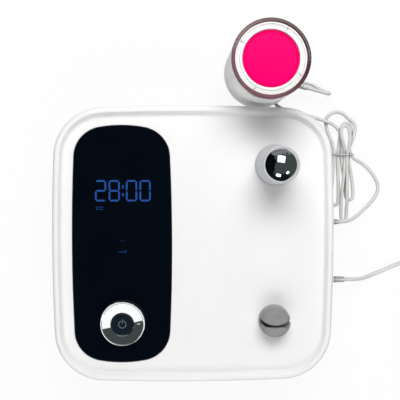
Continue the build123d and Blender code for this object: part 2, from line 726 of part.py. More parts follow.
with BuildPart() as head_rear_cap:
    disc(head_centre, head_r, cap_low, cap_height)
    fillet(head_rear_cap.edges().group_by(Axis.Z)[0], cap_round)
    disc(head_centre, bore_r - fit, cap_height - 1.0, spigot_high)
    add(cap_hollow.part, mode=Mode.SUBTRACT)
    disc(head_centre, magnet_r + 7.5, cap_low + 1.0, cap_height)
    with Locations((head_x, head_y, seat_centre_z)):
        Sphere(seat_r, mode=Mode.SUBTRACT)
    disc(head_centre, magnet_r + fit, magnet_low, spigot_high, mode=Mode.SUBTRACT)
    with BuildSketch(at(head_centre, cap_low)):
        Circle(foot_ring_outer + fit)
        Circle(foot_ring_inner - fit, mode=Mode.SUBTRACT)
    extrude(amount=ring_seat, mode=Mode.SUBTRACT)
    with BuildSketch(at(head_centre, cap_low + head_wall - 0.3)):
        with Locations(*screw_spots):
            Circle(head_boss_r)
    extrude(amount=spigot_high - cap_low - head_wall + 0.3)
    with BuildSketch(at(head_centre, cap_screw_low)):
        with Locations(*screw_spots):
            Circle(small_screw_r + fit)
    extrude(amount=spigot_high, mode=Mode.SUBTRACT)
    with BuildSketch(relief_plane):
        Circle(relief_r + 0.02)
    extrude(amount=head_r, mode=Mode.SUBTRACT)
write(head_rear_cap, "head_rear_cap")

with BuildPart() as head_foot_ring:
    with BuildSketch(at(head_centre)):
        Circle(foot_ring_outer)
        Circle(foot_ring_inner, mode=Mode.SUBTRACT)
    extrude(amount=cap_low + ring_seat)
write(head_foot_ring, "head_foot_ring")

with BuildPart() as seat_magnet:
    disc(head_centre, magnet_r, magnet_low, magnet_low + 4.0)
write(seat_magnet, "seat_magnet")

head_board_z = 40.0
with BuildPart() as head_body:
    disc(head_centre, head_r, cap_height, body_top)
    disc(head_centre, bore_r, cap_height, flange_low_z, mode=Mode.SUBTRACT)
    with BuildSketch(at(head_centre, spigot_high)):
        with Locations(*screw_spots):
            Circle(head_boss_r)
        for angle in head_screw_angles:
            with Locations(Location((0, 0, 0), (0, 0, angle))):
                with Locations((head_screw_ring + 4.4, 0)):
                    Rectangle(6.4, 2 * head_boss_r - 2.0)
    extrude(amount=head_board_z - spigot_high)
    with BuildSketch(at(head_centre, spigot_high)):
        with Locations(*screw_spots):
            Circle(small_screw_r + running)
    extrude(amount=head_board_z - spigot_high, mode=Mode.SUBTRACT)
    cup_r_out = land_r - 2.4
    disc(head_centre, cup_r_out + 0.2, flange_low_z, body_top, mode=Mode.SUBTRACT)
write(head_body, "head_body")

with BuildPart() as head_screws:
    with BuildSketch(at(head_centre, cap_screw_low + 0.4)):
        with Locations(*screw_spots):
            Circle(small_screw_r)
    extrude(amount=spigot_high + 7.0 - cap_screw_low)
    with BuildSketch(at(head_centre, head_board_z + board_thick)):
        with Locations(*screw_spots):
            Circle(small_head_r)
    extrude(amount=small_head_height)
    with BuildSketch(at(head_centre, head_board_z - 6.0)):
        with Locations(*screw_spots):
            Circle(small_screw_r)
    extrude(amount=6.0 + board_thick)
write(head_screws, "head_screws")

with BuildPart() as head_board:
    with BuildSketch(at(head_centre, head_board_z)):
        Circle(bore_r - 0.8)
        with Locations(*screw_spots):
            Circle(small_screw_r + fit, mode=Mode.SUBTRACT)
    extrude(amount=board_thick)
    with BuildSketch(at(head_centre, head_board_z + board_thick)):
        with Locations((-8.0, 6.0)):
            Rectangle(12.0, 12.0)
        with Locations((9.0, -6.0)):
            Rectangle(9.0, 14.0)
    extrude(amount=8.0)
write(head_board, "head_board")

with BuildPart() as head_strain_relief:
    with BuildSketch(relief_plane.offset(-1.5)):
        Circle(relief_r + relief_flange)
    extrude(amount=1.5)
    with BuildSketch(relief_plane):
        Circle(relief_r)
    extrude(amount=head_r + 3.0 - relief_start)
    with BuildSketch(relief_plane.offset(head_r + 3.0 - relief_start)):
        Circle(relief_r)
    with BuildSketch(relief_plane.offset(relief_reach - relief_start)):
        Circle(relief_tip_r)
    loft(ruled=True)
    for groove in range(3):
        with BuildSketch(relief_plane.offset(head_r + 5.6 + 2.6 * groove - relief_start)):
            Circle(relief_r + 1.0)
            Circle(relief_tip_r - 0.1, mode=Mode.SUBTRACT)
        extrude(amount=0.9, mode=Mode.SUBTRACT)
write(head_strain_relief, "head_strain_relief")

# the front of the head: transducer, membrane, bezel and clear rim
cup_low, cup_top = body_top - 10.0, body_top + 3.0
cup_lip_r = land_r - 0.1
membrane_top = head_height - 2.6
with BuildPart() as transducer_cup:
    turned(head_centre, [
        (0, cup_top - 2.2), (cup_r_out - 3.0, cup_top - 2.2), (cup_r_out - 3.0, cup_low),
        (cup_r_out, cup_low), (cup_r_out, body_top), (cup_lip_r, body_top),
        (cup_lip_r, body_top + 1.2), (cup_r_out, body_top + 1.2), (cup_r_out, cup_top), (0, cup_top),
    ])
write(transducer_cup, "transducer_cup")

with BuildPart() as piezo_disc:
    disc(head_centre, cup_r_out - 7.2, cup_top - 2.2 - 2.5, cup_top - 2.2)
write(piezo_disc, "piezo_disc")

with BuildPart() as clamp_ring:
    with BuildSketch(at(head_centre, flange_low_z - 4.0)):
        Circle(cup_r_out + 5.0)
        Circle(cup_r_out + 0.05, mode=Mode.SUBTRACT)
    extrude(amount=4.0)
write(clamp_ring, "clamp_ring")

with BuildPart() as sealing_ring:
    with BuildSketch(at(head_centre, body_top + 1.2)):
        Circle(cup_lip_r)
        Circle(cup_r_out + 0.05, mode=Mode.SUBTRACT)
    extrude(amount=cup_top - body_top - 1.2)
write(sealing_ring, "sealing_ring")

bead_r, bead_half = land_r - 1.8, 0.5
with BuildPart() as membrane:
    turned(head_centre, [
        (0, cup_top), (cup_lip_r, cup_top), (cup_lip_r, membrane_top - 0.3),
        (cup_lip_r - 0.3, membrane_top), (bead_r + bead_half, membrane_top), (bead_r, membrane_top + 0.4),
        (bead_r - bead_half, membrane_top - 0.3), (0, membrane_top - 0.3),
    ])
write(membrane, "membrane")

rim_inner = head_r - rim_band
bezel_outer = rim_inner - fit
bezel_top = head_height - 1.0
groove_in, groove_out = land_r + 2.1, bezel_outer - 1.5
seam_half = 0.15
with BuildPart() as head_bezel:
    turned(head_centre, [
        (land_r, body_top), (bezel_outer, body_top), (bezel_outer, bezel_top - 0.3),
        (bezel_outer - 0.3, bezel_top), (groove_out, bezel_top), (groove_out - 0.3, bezel_top - 0.9),
        (groove_in + 0.3, bezel_top - 0.9),
        (groove_in, bezel_top), (land_r + 0.5, bezel_top), (land_r, bezel_top - 0.5),
    ])
    # four segments, with a pin hole at each joint
    with BuildSketch(at(head_centre, body_top)):
        for angle in (61, 151, 241, 331):
            with Locations(Location((0, 0, 0), (0, 0, angle))):
                with Locations((land_r + 3.0, 0)):
                    Rectangle(12.0, 2 * seam_half)
    extrude(amount=rim_tall, mode=Mode.SUBTRACT)
    with BuildSketch(at(head_centre, bezel_top - 2.0)):
        for angle in (61, 151, 241, 331):
            with Locations(Location((0, 0, 0), (0, 0, angle))):
                with Locations((groove_out - 0.6, 0)):
                    Circle(0.55)
    extrude(amount=2.0, mode=Mode.SUBTRACT)
write(head_bezel, "head_bezel")

with BuildPart() as clear_rim:
    turned(head_centre, [
        (rim_inner, body_top), (head_r, body_top), (head_r, head_height - 0.8), (head_r - 0.8, head_height),
        (rim_inner + 0.5, head_height), (rim_inner, head_height - 0.5),
    ])
write(clear_rim, "clear_rim")

# ---------------------------------------------------------------- leads
lead_z = lead_d / 2 + 0.05
power_z = power_d / 2 + 0.05
tie_thick = 0.7
hank_low = tie_thick + 0.05

# the head's lead, from the strain relief through a tight fold to the table, round the head's foot and
# behind the console to the hank
lead_head_points = [
    (113.09, 114.09, 10.0), (117.90, 112.71, 10.0), (123.6, 111.2, 9.7), (129.0, 109.9, 9.2),
    (133.6, 108.8, 8.6), (135.75, 108.75, 6.6), (135.95, 109.48, 3.76), (134.1, 110.57, 1.75),
    (130.2, 112.4, 1.75), (125.0, 115.1, 1.75), (118.5, 118.7, 1.75), (112.2, 120.5, 1.75),
    (106.3, 119.8, 1.75), (101.0, 117.6, 1.75), (96.9, 114.6, 1.75), (93.6, 110.4, 1.75),
    (90.2, 106.4, 1.75), (86.9, 103.9, 1.75), (82.9, 102.1, 1.75), (82.3, 98.7, 1.75),
    (87.6, 95.4, 1.75), (92.6, 92.6, 1.75), (98.6, 90.9, 1.75), (105.0, 89.8, 1.75),
    (115.8, 87.3, 1.75), (125.2, 84.3, 3.0), (133.0, 81.6, 5.8), (140.3, 78.3, 5.9), (145.6, 73.2, 5.9),
]
# the tail, from the tie down to the plug
lead_tail_points = [
    (155.4, 55.6, 6.0), (157.6, 49.8, 5.6), (160.3, 45.2, 5.0), (165.8, 42.2, 3.4), (173.0, 38.2, 1.9),
    (181.0, 29.6, 1.75), (187.0, 18.9, 1.75), (185.9, 9.6, 1.75), (178.8, 0.0, 1.9), (171.4, -6.8, 3.2),
    (163.9, -12.6, 6.4), (156.9, -16.4, 10.4), (150.3, -17.882, 13.0), (145.0, -17.882, 13.0),
]
# the power lead, from its plug to the coil, and from the coil to the adapter
power_run_points = [
    (151.0, -75.082, 13.0), (156.6, -75.082, 13.0), (163.3, -75.6, 10.6), (170.2, -75.1, 7.0),
    (177.2, -73.4, 3.9), (185.0, -70.6, 2.2), (194.0, -67.2, 1.95), (204.0, -62.6, 1.95),
    (215.0, -58.9, 1.95), (226.5, -57.7, 2.2), (238.0, -58.0, 2.65),
]
power_tail_points = [
    (269.6, -36.0, 10.2), (269.4, -26.0, 9.6), (268.0, -15.0, 9.2), (265.8, -5.5, 10.8), (264.0, 3.0, 13.0),
    (264.0, 10.0, 13.0),
]


def cord_tube(points, diameter, name):
    """A round cord along straight runs joined by arcs as large as the runs allow."""
    nodes = [Vector(*point) for point in points]
    radii = []
    for before, corner, after in zip(nodes, nodes[1:], nodes[2:]):
        turn = (corner - before).get_angle(after - corner)
        shorter = min((corner - before).length, (after - corner).length)
        radii.append(0.45 * shorter / tan(radians(turn / 2)))
    with BuildLine() as path:
        FilletPolyline(*nodes, radius=radii)
    with BuildSketch(Plane(origin=path.line @ 0, z_dir=path.line % 0)) as section:
        Circle(diameter / 2)
    sweep(section.sketch, path=path.line)
    length = sum(edge.length for edge in path.line.edges())
    print(name, "length", round(length, 1), "radii", [round(radius, 1) for radius in radii])
    return length


def check_volume(builder, diameter, length, name):
    """Prints a tube's volume beside its section times its length."""
    section = 3.14159265 * diameter**2 / 4
    print(name, "volume", round(builder.part.volume, 1), "section x length", round(section * length, 1))


with BuildPart() as lead_head_run:
    head_run_length = cord_tube(lead_head_points, lead_d, "lead_head_run")
check_volume(lead_head_run, lead_d, head_run_length, "lead_head_run")
write(lead_head_run, "lead_head_run")

with BuildPart() as lead_tail_run:
    tail_run_length = cord_tube(lead_tail_points, lead_d, "lead_tail_run")
check_volume(lead_tail_run, lead_d, tail_run_length, "lead_tail_run")
write(lead_tail_run, "lead_tail_run")

# the hank: one layer of strands over its whole plan, and the bundle of strands on it along the middle
hank_plan = [
    (152.0, -19.0), (158.0, -8.0), (163.0, 8.0), (162.4, 24.0), (160.9, 46.4), (161.0, 51.0),
    (165.0, 76.0), (158.5, 86.5), (146.0, 93.4), (133.2, 90.0), (131.4, 77.0), (140.8, 51.0),
    (140.8, 46.4), (138.2, 10.0), (138.4, -5.0), (147.4, -7.0),
]
bundle_plan = [
    (155.5, 2.0), (161.0, 16.0), (160.9, 46.4), (159.0, 72.0), (150.0, 79.0), (143.5, 72.0), (140.8, 46.4),
    (140.4, 14.0), (144.5, 0.0),
]
tie_y = 48.6
tie_width = 3.0
tie_left, tie_right = 140.2, 161.5
bundle_top = 7.6
# where the last loops are folded over the others, above the tie
fold_plan = [(160.6, 56.0), (160.6, 70.0), (155.0, 79.4), (146.5, 79.4), (144.6, 70.0), (147.0, 56.0)]
fold_top = 10.8
with BuildPart() as lead_hank:
    with BuildSketch(Plane.XY.offset(hank_low)) as hank_sketch:
        Polygon(*hank_plan, align=None)
        fillet(hank_sketch.vertices(), 3.0)
    extrude(amount=lead_d + 0.2)
    with BuildSketch(Plane.XY.offset(hank_low)) as bundle_sketch:
        Polygon(*bundle_plan, align=None)
        fillet(bundle_sketch.vertices(), 3.0)
    extrude(amount=bundle_top - hank_low)
    with BuildSketch(Plane.XY.offset(hank_low)) as fold_sketch:
        Polygon(*fold_plan, align=None)
        fillet(fold_sketch.vertices(), 3.0)
    extrude(amount=fold_top - hank_low)
    fillet(lead_hank.edges().group_by(Axis.Z)[-1], 1.5)
write(lead_hank, "lead_hank")


def tie_band(centre, across, half_width, half_gap, top):
    """A thin band round a bundle, its bore open from the tie's own thickness above the table up to top."""
    middle = Plane(centre, x_dir=across, z_dir=Vector(across[1], -across[0], 0))
    with BuildSketch(middle.offset(-half_width)) as band:
        with Locations((0, top / 2 + tie_thick / 2)):
            Rectangle(2 * (half_gap + tie_thick), top + tie_thick)
            Rectangle(2 * half_gap, top - tie_thick, mode=Mode.SUBTRACT)
    extrude(band.sketch, amount=2 * half_width)


tie_middle = (tie_left + tie_right) / 2
tie_half_gap = (tie_right - tie_left) / 2
with BuildPart() as lead_tie:
    tie_band((tie_middle, tie_y, 0.0), (1, 0, 0), tie_width / 2, tie_half_gap, bundle_top + 0.15)
write(lead_tie, "lead_tie")

coil_x, coil_y = 244.0, -36.0
coil_low = hank_low
coil_high = coil_low + 3 * power_d + 0.3
with BuildPart() as power_coil:
    with BuildSketch(at((coil_x, coil_y), coil_low)):
        Circle(coil_r + coil_section / 2)
        Circle(coil_r - coil_section / 2, mode=Mode.SUBTRACT)
    extrude(amount=coil_high - coil_low)
    fillet(power_coil.edges().filter_by(GeomType.CIRCLE), 1.8)
write(power_coil, "power_coil")

with BuildPart() as power_tie:
    tie_band((coil_x - coil_r, coil_y, 0.0), (1, 0, 0), 1.5, coil_section / 2 + 0.25, coil_high + 0.15)
write(power_tie, "power_tie")

with BuildPart() as power_tail:
    power_tail_length = cord_tube(power_tail_points, power_d, "power_tail")
check_volume(power_tail, power_d, power_tail_length, "power_tail")
write(power_tail, "power_tail")

with BuildPart() as power_run:
    power_run_length = cord_tube(power_run_points, power_d, "power_run")
check_volume(power_run, power_d, power_run_length, "power_run")
write(power_run, "power_run")

# ---------------------------------------------------------------- plugs and adapter
plug_face = land_x + gap


def plug(jack_y, barrel_r, barrel_bore_r, tip_x, tip_r, ribs):
    """A moulded plug along +X: a contact barrel in the socket, a round body and a ribbed relief."""
    lay = Plane((0, console_y + jack_y, jack_z), x_dir=(0, 1, 0), z_dir=(1, 0, 0))
    body_end = plug_face + 11.0
    axis = Axis((0, console_y + jack_y, jack_z), (1, 0, 0))
    with BuildSketch(Plane((0, console_y + jack_y, jack_z), x_dir=(1, 0, 0), z_dir=(0, -1, 0))) as section:
        with BuildLine():
            Polyline(
                (plug_face, 0), (plug_face, plug_r), (body_end - 1.5, plug_r), (body_end, plug_r - 1.3),
                (body_end, plug_r - 1.7), (tip_x, tip_r), (tip_x, 0), close=True,
            )
        make_face()
    revolve(section.sketch, axis=axis)
    rib_pitch = (tip_x - body_end - 1.4) / ribs
    for rib in range(ribs):
        with BuildSketch(lay.offset(body_end + 1.0 + rib * rib_pitch)) as groove:
            Circle(plug_r)
            Circle(tip_r + 0.1, mode=Mode.SUBTRACT)
        extrude(groove.sketch, amount=rib_pitch * 0.4, mode=Mode.SUBTRACT)
    with BuildSketch(lay.offset(plug_face - 9.0)) as barrel:
        Circle(barrel_r)
        if barrel_bore_r:
            Circle(barrel_bore_r, mode=Mode.SUBTRACT)
    extrude(barrel.sketch, amount=9.0)


with BuildPart() as lead_plug:
    plug(lead_jack_y, 1.75, 0, lead_tail_points[-1][0], 2.0, 3)
write(lead_plug, "lead_plug")

with BuildPart() as power_plug:
    plug(power_jack_y, 2.75, 1.2, power_run_points[0][0], 2.6, 5)
write(power_plug, "power_plug")

adapter_x, adapter_low_y = 264.0, 20.0
adapter_wide, adapter_long, adapter_tall = 44.0, 62.0, 28.0
adapter_y = adapter_low_y + adapter_long / 2
adapter_end = power_tail_points[-1]
with BuildPart() as power_adapter:
    block((adapter_x, adapter_y), adapter_wide, adapter_long, 0.0, adapter_tall)
    fillet(power_adapter.edges().filter_by(Axis.Z), 6.0)
    fillet(power_adapter.edges().group_by(Axis.Z)[-1], 3.0)
    fillet(power_adapter.edges().group_by(Axis.Z)[0], 2.0)
    relief_face = Plane((adapter_end[0], adapter_end[1], adapter_end[2]), x_dir=(1, 0, 0), z_dir=(0, 1, 0))
    with BuildSketch(relief_face):
        Circle(2.6)
    with BuildSketch(relief_face.offset(adapter_low_y - adapter_end[1] + 0.5)):
        Circle(4.2)
    loft(ruled=True)
write(power_adapter, "power_adapter")

with BuildPart() as adapter_pins:
    with BuildSketch(at((adapter_x, adapter_y + 12.0), adapter_tall)):
        with GridLocations(12.7, 0, 2, 1):
            Rectangle(1.5, 6.3)
    extrude(amount=16.0)
    chamfer(adapter_pins.edges().group_by(Axis.Z)[-1], 0.5)
write(adapter_pins, "adapter_pins")
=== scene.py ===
# %% [markdown]
# # Ultrasound therapy console, head and leads
# A square white console stands on a table, seen from almost straight above. Its treatment head stands behind
# it, and the head's lead is tied in a hank at the right. The solid parts come ready made from the
# engineering model. This lesson loads them, dresses them in believable finishes, and makes what the
# engineering model leaves plain: the leads, the tie, and the light that shows it all.

# %% Load the finished frame
import json
from math import cos, pi, radians, sin

import bpy
from mathutils import Matrix, Vector, geometry


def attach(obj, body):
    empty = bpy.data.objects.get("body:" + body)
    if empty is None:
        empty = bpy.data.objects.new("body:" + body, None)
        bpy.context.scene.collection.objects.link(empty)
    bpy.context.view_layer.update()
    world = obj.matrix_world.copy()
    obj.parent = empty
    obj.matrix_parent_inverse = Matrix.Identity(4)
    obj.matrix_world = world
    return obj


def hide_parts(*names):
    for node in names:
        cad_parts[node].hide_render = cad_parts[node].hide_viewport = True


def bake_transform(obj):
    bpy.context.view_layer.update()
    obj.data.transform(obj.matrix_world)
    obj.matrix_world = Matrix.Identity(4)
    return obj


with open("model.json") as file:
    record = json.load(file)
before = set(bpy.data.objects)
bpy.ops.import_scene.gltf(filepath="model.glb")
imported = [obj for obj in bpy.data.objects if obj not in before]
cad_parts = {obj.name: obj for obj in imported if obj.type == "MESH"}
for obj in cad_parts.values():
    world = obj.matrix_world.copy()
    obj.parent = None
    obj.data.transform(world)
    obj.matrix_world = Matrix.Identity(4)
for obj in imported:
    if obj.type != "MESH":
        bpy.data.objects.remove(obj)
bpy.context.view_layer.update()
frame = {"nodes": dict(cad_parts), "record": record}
MM = 0.001
print("solid parts:", len(frame["nodes"]))

# %% [markdown]
# ## Camera
# The camera looks almost straight down from seven tenths of a metre, a little left of and behind the
# console's middle, with its top towards the back of the table. A look-at rotation leaves the roll free when
# the view is this steep, so the three axes of the camera are worked out by hand: it looks along its own -Z,
# and its +Y is the top of the picture.

# %% Camera
CAMERA_AT = Vector((-12.5, 33.5, 700.0)) * MM
CAMERA_AIM = Vector((7.6, 3.3, 0.0)) * MM
LENS_MM = 63.0

forward = (CAMERA_AIM - CAMERA_AT).normalized()
right = forward.cross(Vector((0.0, 1.0, 0.0))).normalized()
up = right.cross(forward)
turn = Matrix((right, up, -forward)).transposed().to_4x4()
camera_data = bpy.data.cameras.new("camera")
camera_data.lens = LENS_MM
camera_data.sensor_width = 36.0
camera_data.clip_start = 0.01
camera = bpy.data.objects.new("camera", camera_data)
bpy.context.collection.objects.link(camera)
camera.matrix_world = Matrix.Translation(CAMERA_AT) @ turn
bpy.context.scene.camera = camera
print("camera at", tuple(round(v, 4) for v in camera.location))

# %% [markdown]
# ## Leads
# Each lead is one length of round flexible cord, so each is one curve. A NURBS spline with its control
# points along the route bends as smoothly as a real cord, and a bevel gives it its thickness. The head's
# lead leaves the strain relief, folds back on itself, passes round the head's foot and behind the console,
# and is gathered in a hank, from whose tie it runs to its plug. Where one strand crosses another its points
# rise by a cord's thickness.

# %% A helper for cords
LEAD_D = 3.4 * MM
POWER_D = 3.8 * MM
LEAST_STEP = 0.05 * MM  # nearer points of a centreline count as one


def cord_curve(name, points_mm, diameter):
    """A round cord: one open NURBS spline whose control points are the route's points, in millimetres."""
    data = bpy.data.curves.new(name, "CURVE")
    data.dimensions = "3D"
    spline = data.splines.new("NURBS")
    spline.points.add(len(points_mm) - 1)
    for point, (x, y, z) in zip(spline.points, points_mm):
        point.co = (x * MM, y * MM, z * MM, 1.0)
    spline.order_u = 3
    spline.use_endpoint_u = True
    spline.resolution_u = 8
    data.bevel_depth = diameter / 2
    data.bevel_resolution = 5
    data.use_fill_caps = True
    cord = bpy.data.objects.new(name, data)
    bpy.context.collection.objects.link(cord)
    return cord


def centreline(cord):
    """The points along a cord's centreline, read from a copy of its curve with no bevel."""
    plain = cord.data.copy()
    plain.bevel_depth = 0.0
    plain.use_fill_caps = False
    probe = bpy.data.objects.new("probe", plain)
    bpy.context.collection.objects.link(probe)
    depsgraph = bpy.context.evaluated_depsgraph_get()
    line = bpy.data.meshes.new_from_object(probe.evaluated_get(depsgraph))
    points = [vertex.co.copy() for vertex in line.vertices]
    points = [b for a, b in zip([points[-1]] + points, points) if (b - a).length > LEAST_STEP]
    bpy.data.objects.remove(probe)
    bpy.data.curves.remove(plain)
    bpy.data.meshes.remove(line)
    return points


print("cord diameters", LEAD_D, POWER_D)

# %% The head's lead
head_run = [
    (113.09, 114.09, 10.0), (117.90, 112.71, 10.0), (123.6, 111.2, 9.7), (129.0, 109.9, 9.2),
    (133.6, 108.8, 8.6), (135.75, 108.75, 6.6), (135.95, 109.48, 3.76), (134.1, 110.57, 1.75),
    (130.2, 112.4, 1.75), (125.0, 115.1, 1.75), (118.5, 118.7, 1.75), (112.2, 120.5, 1.75),
    (106.3, 119.8, 1.75), (101.0, 117.6, 1.75), (96.9, 114.6, 1.75), (93.6, 110.4, 1.75),
    (90.2, 106.4, 1.75), (86.9, 103.9, 1.75), (82.9, 102.1, 1.75), (82.3, 98.7, 1.75), (87.6, 95.4, 1.75),
    (92.6, 92.6, 1.75), (98.6, 90.9, 1.75), (105.0, 89.8, 1.75), (115.8, 87.3, 1.75), (125.2, 84.3, 3.0),
    (133.0, 81.6, 5.8), (140.3, 78.3, 5.9), (145.6, 73.2, 5.9),
]
# seven strands pass through the tie, at y 48.6
hank = [
    (148.6, 64.5, 5.8), (149.3, 56.0, 3.6), (148.95, 48.6, 2.45), (149.6, 40.0, 2.45),
    (151.4, 28.0, 2.45), (153.0, 17.0, 2.45), (153.8, 9.0, 2.45), (154.4, 3.6, 2.45), (160.4, 3.6, 2.45),
    (161.2, 10.0, 2.45), (160.4, 20.0, 2.45), (158.2, 33.0, 2.45), (156.3, 42.0, 2.45),
    (155.95, 48.6, 2.45), (156.8, 57.0, 2.45), (158.6, 66.0, 2.45), (158.8, 74.0, 2.45),
    (156.6, 80.2, 2.45), (150.6, 80.4, 2.45), (148.2, 73.0, 2.45), (147.0, 62.0, 2.45),
    (145.45, 48.6, 2.45), (145.5, 37.0, 2.45), (146.1, 22.0, 2.45), (146.4, 9.0, 2.45),
    (146.0, -1.8, 2.45), (139.6, -1.8, 2.45), (138.9, 7.0, 2.45), (139.8, 20.0, 2.45),
    (141.0, 34.0, 2.45), (141.95, 48.6, 2.45), (141.0, 56.0, 2.45), (139.2, 62.0, 2.45),
    (136.4, 68.5, 2.3), (134.2, 74.5, 2.0), (133.0, 80.5, 1.9), (134.2, 86.4, 1.8), (138.9, 90.2, 1.75),
    (144.9, 91.6, 1.75), (150.9, 89.6, 1.75), (156.0, 84.7, 1.9), (161.0, 80.6, 2.6), (163.0, 76.0, 4.0),
    (161.4, 69.6, 5.4), (158.6, 61.5, 5.9), (155.6, 55.0, 5.7), (154.2, 48.6, 5.4), (154.2, 37.0, 5.8),
    (154.3, 24.0, 5.85), (154.5, 10.0, 5.85), (154.7, 1.0, 4.6), (154.4, -7.0, 2.6), (154.4, -17.6, 2.45),
    (149.4, -17.6, 2.45), (149.0, -7.0, 2.45), (149.3, 4.0, 2.45), (149.8, 13.0, 3.8), (150.5, 23.0, 5.7),
    (151.3, 33.0, 5.8), (152.2, 41.5, 3.8), (152.45, 48.6, 2.45), (151.2, 54.5, 5.0), (149.2, 61.0, 8.6),
    (146.9, 69.0, 9.2), (147.6, 76.6, 9.2), (153.6, 77.6, 9.2), (156.0, 70.0, 9.1), (156.4, 62.5, 8.9),
]
tail_run = [
    (155.4, 55.6, 6.6), (157.6, 49.8, 5.6), (160.3, 45.2, 5.0), (165.8, 42.2, 3.4), (173.0, 38.2, 1.9),
    (181.0, 29.6, 1.75), (187.0, 18.9, 1.75), (185.9, 9.6, 1.75), (178.8, 0.0, 1.9), (171.4, -6.8, 3.2),
    (163.9, -12.6, 6.4), (156.9, -16.4, 10.4), (150.3, -17.882, 13.0), (145.0, -17.882, 13.0),
]
lead_curve = cord_curve("head_lead_curve", head_run + hank + tail_run, LEAD_D)
lead_line = centreline(lead_curve)

# %% [markdown]
# The head can be lifted, and its lead must follow it at one end and stay on the table at the other. Only a
# mesh can bend between two moving bodies, so each lead's curve is turned into a mesh tube, and its
# centreline is kept.

# %% The lead as a mesh
def cord_mesh(curve, name):
    """A mesh tube made from a cord's curve, which it replaces."""
    depsgraph = bpy.context.evaluated_depsgraph_get()
    mesh = bpy.data.meshes.new_from_object(curve.evaluated_get(depsgraph))
    mesh.name = name
    bpy.data.objects.remove(curve)
    tube = bpy.data.objects.new(name, mesh)
    bpy.context.collection.objects.link(tube)
    for face in mesh.polygons:
        face.use_smooth = True
    return tube


lead = cord_mesh(lead_curve, "head_lead")
print("lead faces", len(lead.data.polygons))

# %% [markdown]
# ## The power lead and its coil
# The power lead runs out to the right, where its spare length is wound for storage in three layers of three
# turns, each turn a cord's thickness from the next. The turns are a spiral whose radius and height step over
# at one place on the circle, as hand-wound turns do. A spline cuts a little inside its points, so they stand
# slightly outside each turn.

# %% The power lead
power_run = [
    (151.0, -75.082, 13.0), (156.6, -75.082, 13.0), (163.3, -75.6, 10.6), (170.2, -75.1, 7.0),
    (177.2, -73.4, 3.9), (185.0, -70.6, 2.2), (194.0, -67.2, 1.95), (204.0, -62.6, 1.95),
    (215.0, -58.9, 1.95), (226.5, -57.7, 2.2),
]
power_tail = [
    (269.4, -26.0, 9.6), (268.0, -15.0, 9.2), (265.8, -5.5, 10.8), (264.0, 3.0, 13.0),
    (264.0, 10.0, 13.0),
]
COIL_AT = (244.0, -36.0)
COIL_R = 22.0
POINTS_A_TURN = 16
STEP_OVER = 4  # points over which a turn moves across to the next
LAST_POINTS = 5  # the last turn is only a quarter of a turn
CUT_IN = 0.981  # how far inside its points a quadratic spline runs, at this many points a turn
WIRE = 3.8  # from one turn to the next: the cord's thickness
LOWEST = 2.65  # height of the middle of the lowest turns
turns = [(COIL_R + WIRE, 0), (COIL_R, 0), (COIL_R - WIRE, 0),
         (COIL_R - WIRE, 1), (COIL_R, 1), (COIL_R + WIRE, 1),
         (COIL_R - WIRE, 2), (COIL_R, 2), (COIL_R + WIRE, 2)]
coil = []
for number, (radius, layer) in enumerate(turns):
    last = number == len(turns) - 1
    next_radius, next_layer = turns[number] if last else turns[number + 1]
    for step in range(LAST_POINTS if last else POINTS_A_TURN):
        angle = -pi / 2 + 2 * pi * step / POINTS_A_TURN
        share = 0.0 if last else max(0.0, (step - POINTS_A_TURN + STEP_OVER) / STEP_OVER)
        r = (radius + (next_radius - radius) * share) / CUT_IN
        z = LOWEST + WIRE * (layer + (next_layer - layer) * share)
        coil.append((COIL_AT[0] + r * cos(angle), COIL_AT[1] + r * sin(angle), z))
power_curve = cord_curve("power_lead_curve", power_run + coil + power_tail, POWER_D)
power_line = centreline(power_curve)
power = cord_mesh(power_curve, "power_lead")

# %% [markdown]
# ## The twist tie
# The tie is a plastic strip with a wire inside, 1.5 mm wide and 0.7 mm thick. It is drawn tight, so its loop
# follows the convex outline of the seven strands it holds, half its own thickness outside them. Its two ends
# are twisted round each other, and lie beside the hank towards the case.

# %% The tie's loop
TIE_Y = 48.6
TIE_THICK = 0.7
TIE_WIDTH = 1.5
TIE_CLEAR = 0.03  # between the tie and the strands
SIDES = 28  # points round each strand
STRANDS = [(141.95, 2.45), (145.45, 2.45), (148.95, 2.45), (152.45, 2.45), (155.95, 2.45),
           (154.2, 5.4), (158.1, 5.6)]
tie_r = LEAD_D / MM / 2 + TIE_THICK / 2 + TIE_CLEAR
round_strands = [Vector((x + tie_r * cos(2 * pi * k / SIDES), z + tie_r * sin(2 * pi * k / SIDES)))
                 for x, z in STRANDS for k in range(SIDES)]
outline = [round_strands[index] for index in geometry.convex_hull_2d(round_strands)]
loop_data = bpy.data.curves.new("tie_loop", "CURVE")
loop_data.dimensions = "3D"
loop_data.twist_mode = "Z_UP"
loop_spline = loop_data.splines.new("POLY")
loop_spline.points.add(len(outline) - 1)
for point, (x, z) in zip(loop_spline.points, outline):
    point.co = (x * MM, z * MM, 0.0, 1.0)
loop_spline.use_cyclic_u = True
loop_data.bevel_depth = TIE_THICK / 2 * MM
loop_data.extrude = (TIE_WIDTH - TIE_THICK) / 2 * MM
loop_data.bevel_resolution = 3
loop_curve = bpy.data.objects.new("tie_loop", loop_data)
bpy.context.collection.objects.link(loop_curve)
tie = cord_mesh(loop_curve, "twist_tie")
tie.data.transform(Matrix.Translation((0.0, TIE_Y * MM, 0.0)) @ Matrix.Rotation(pi / 2, 4, "X"))
print("tie loop points", len(outline))

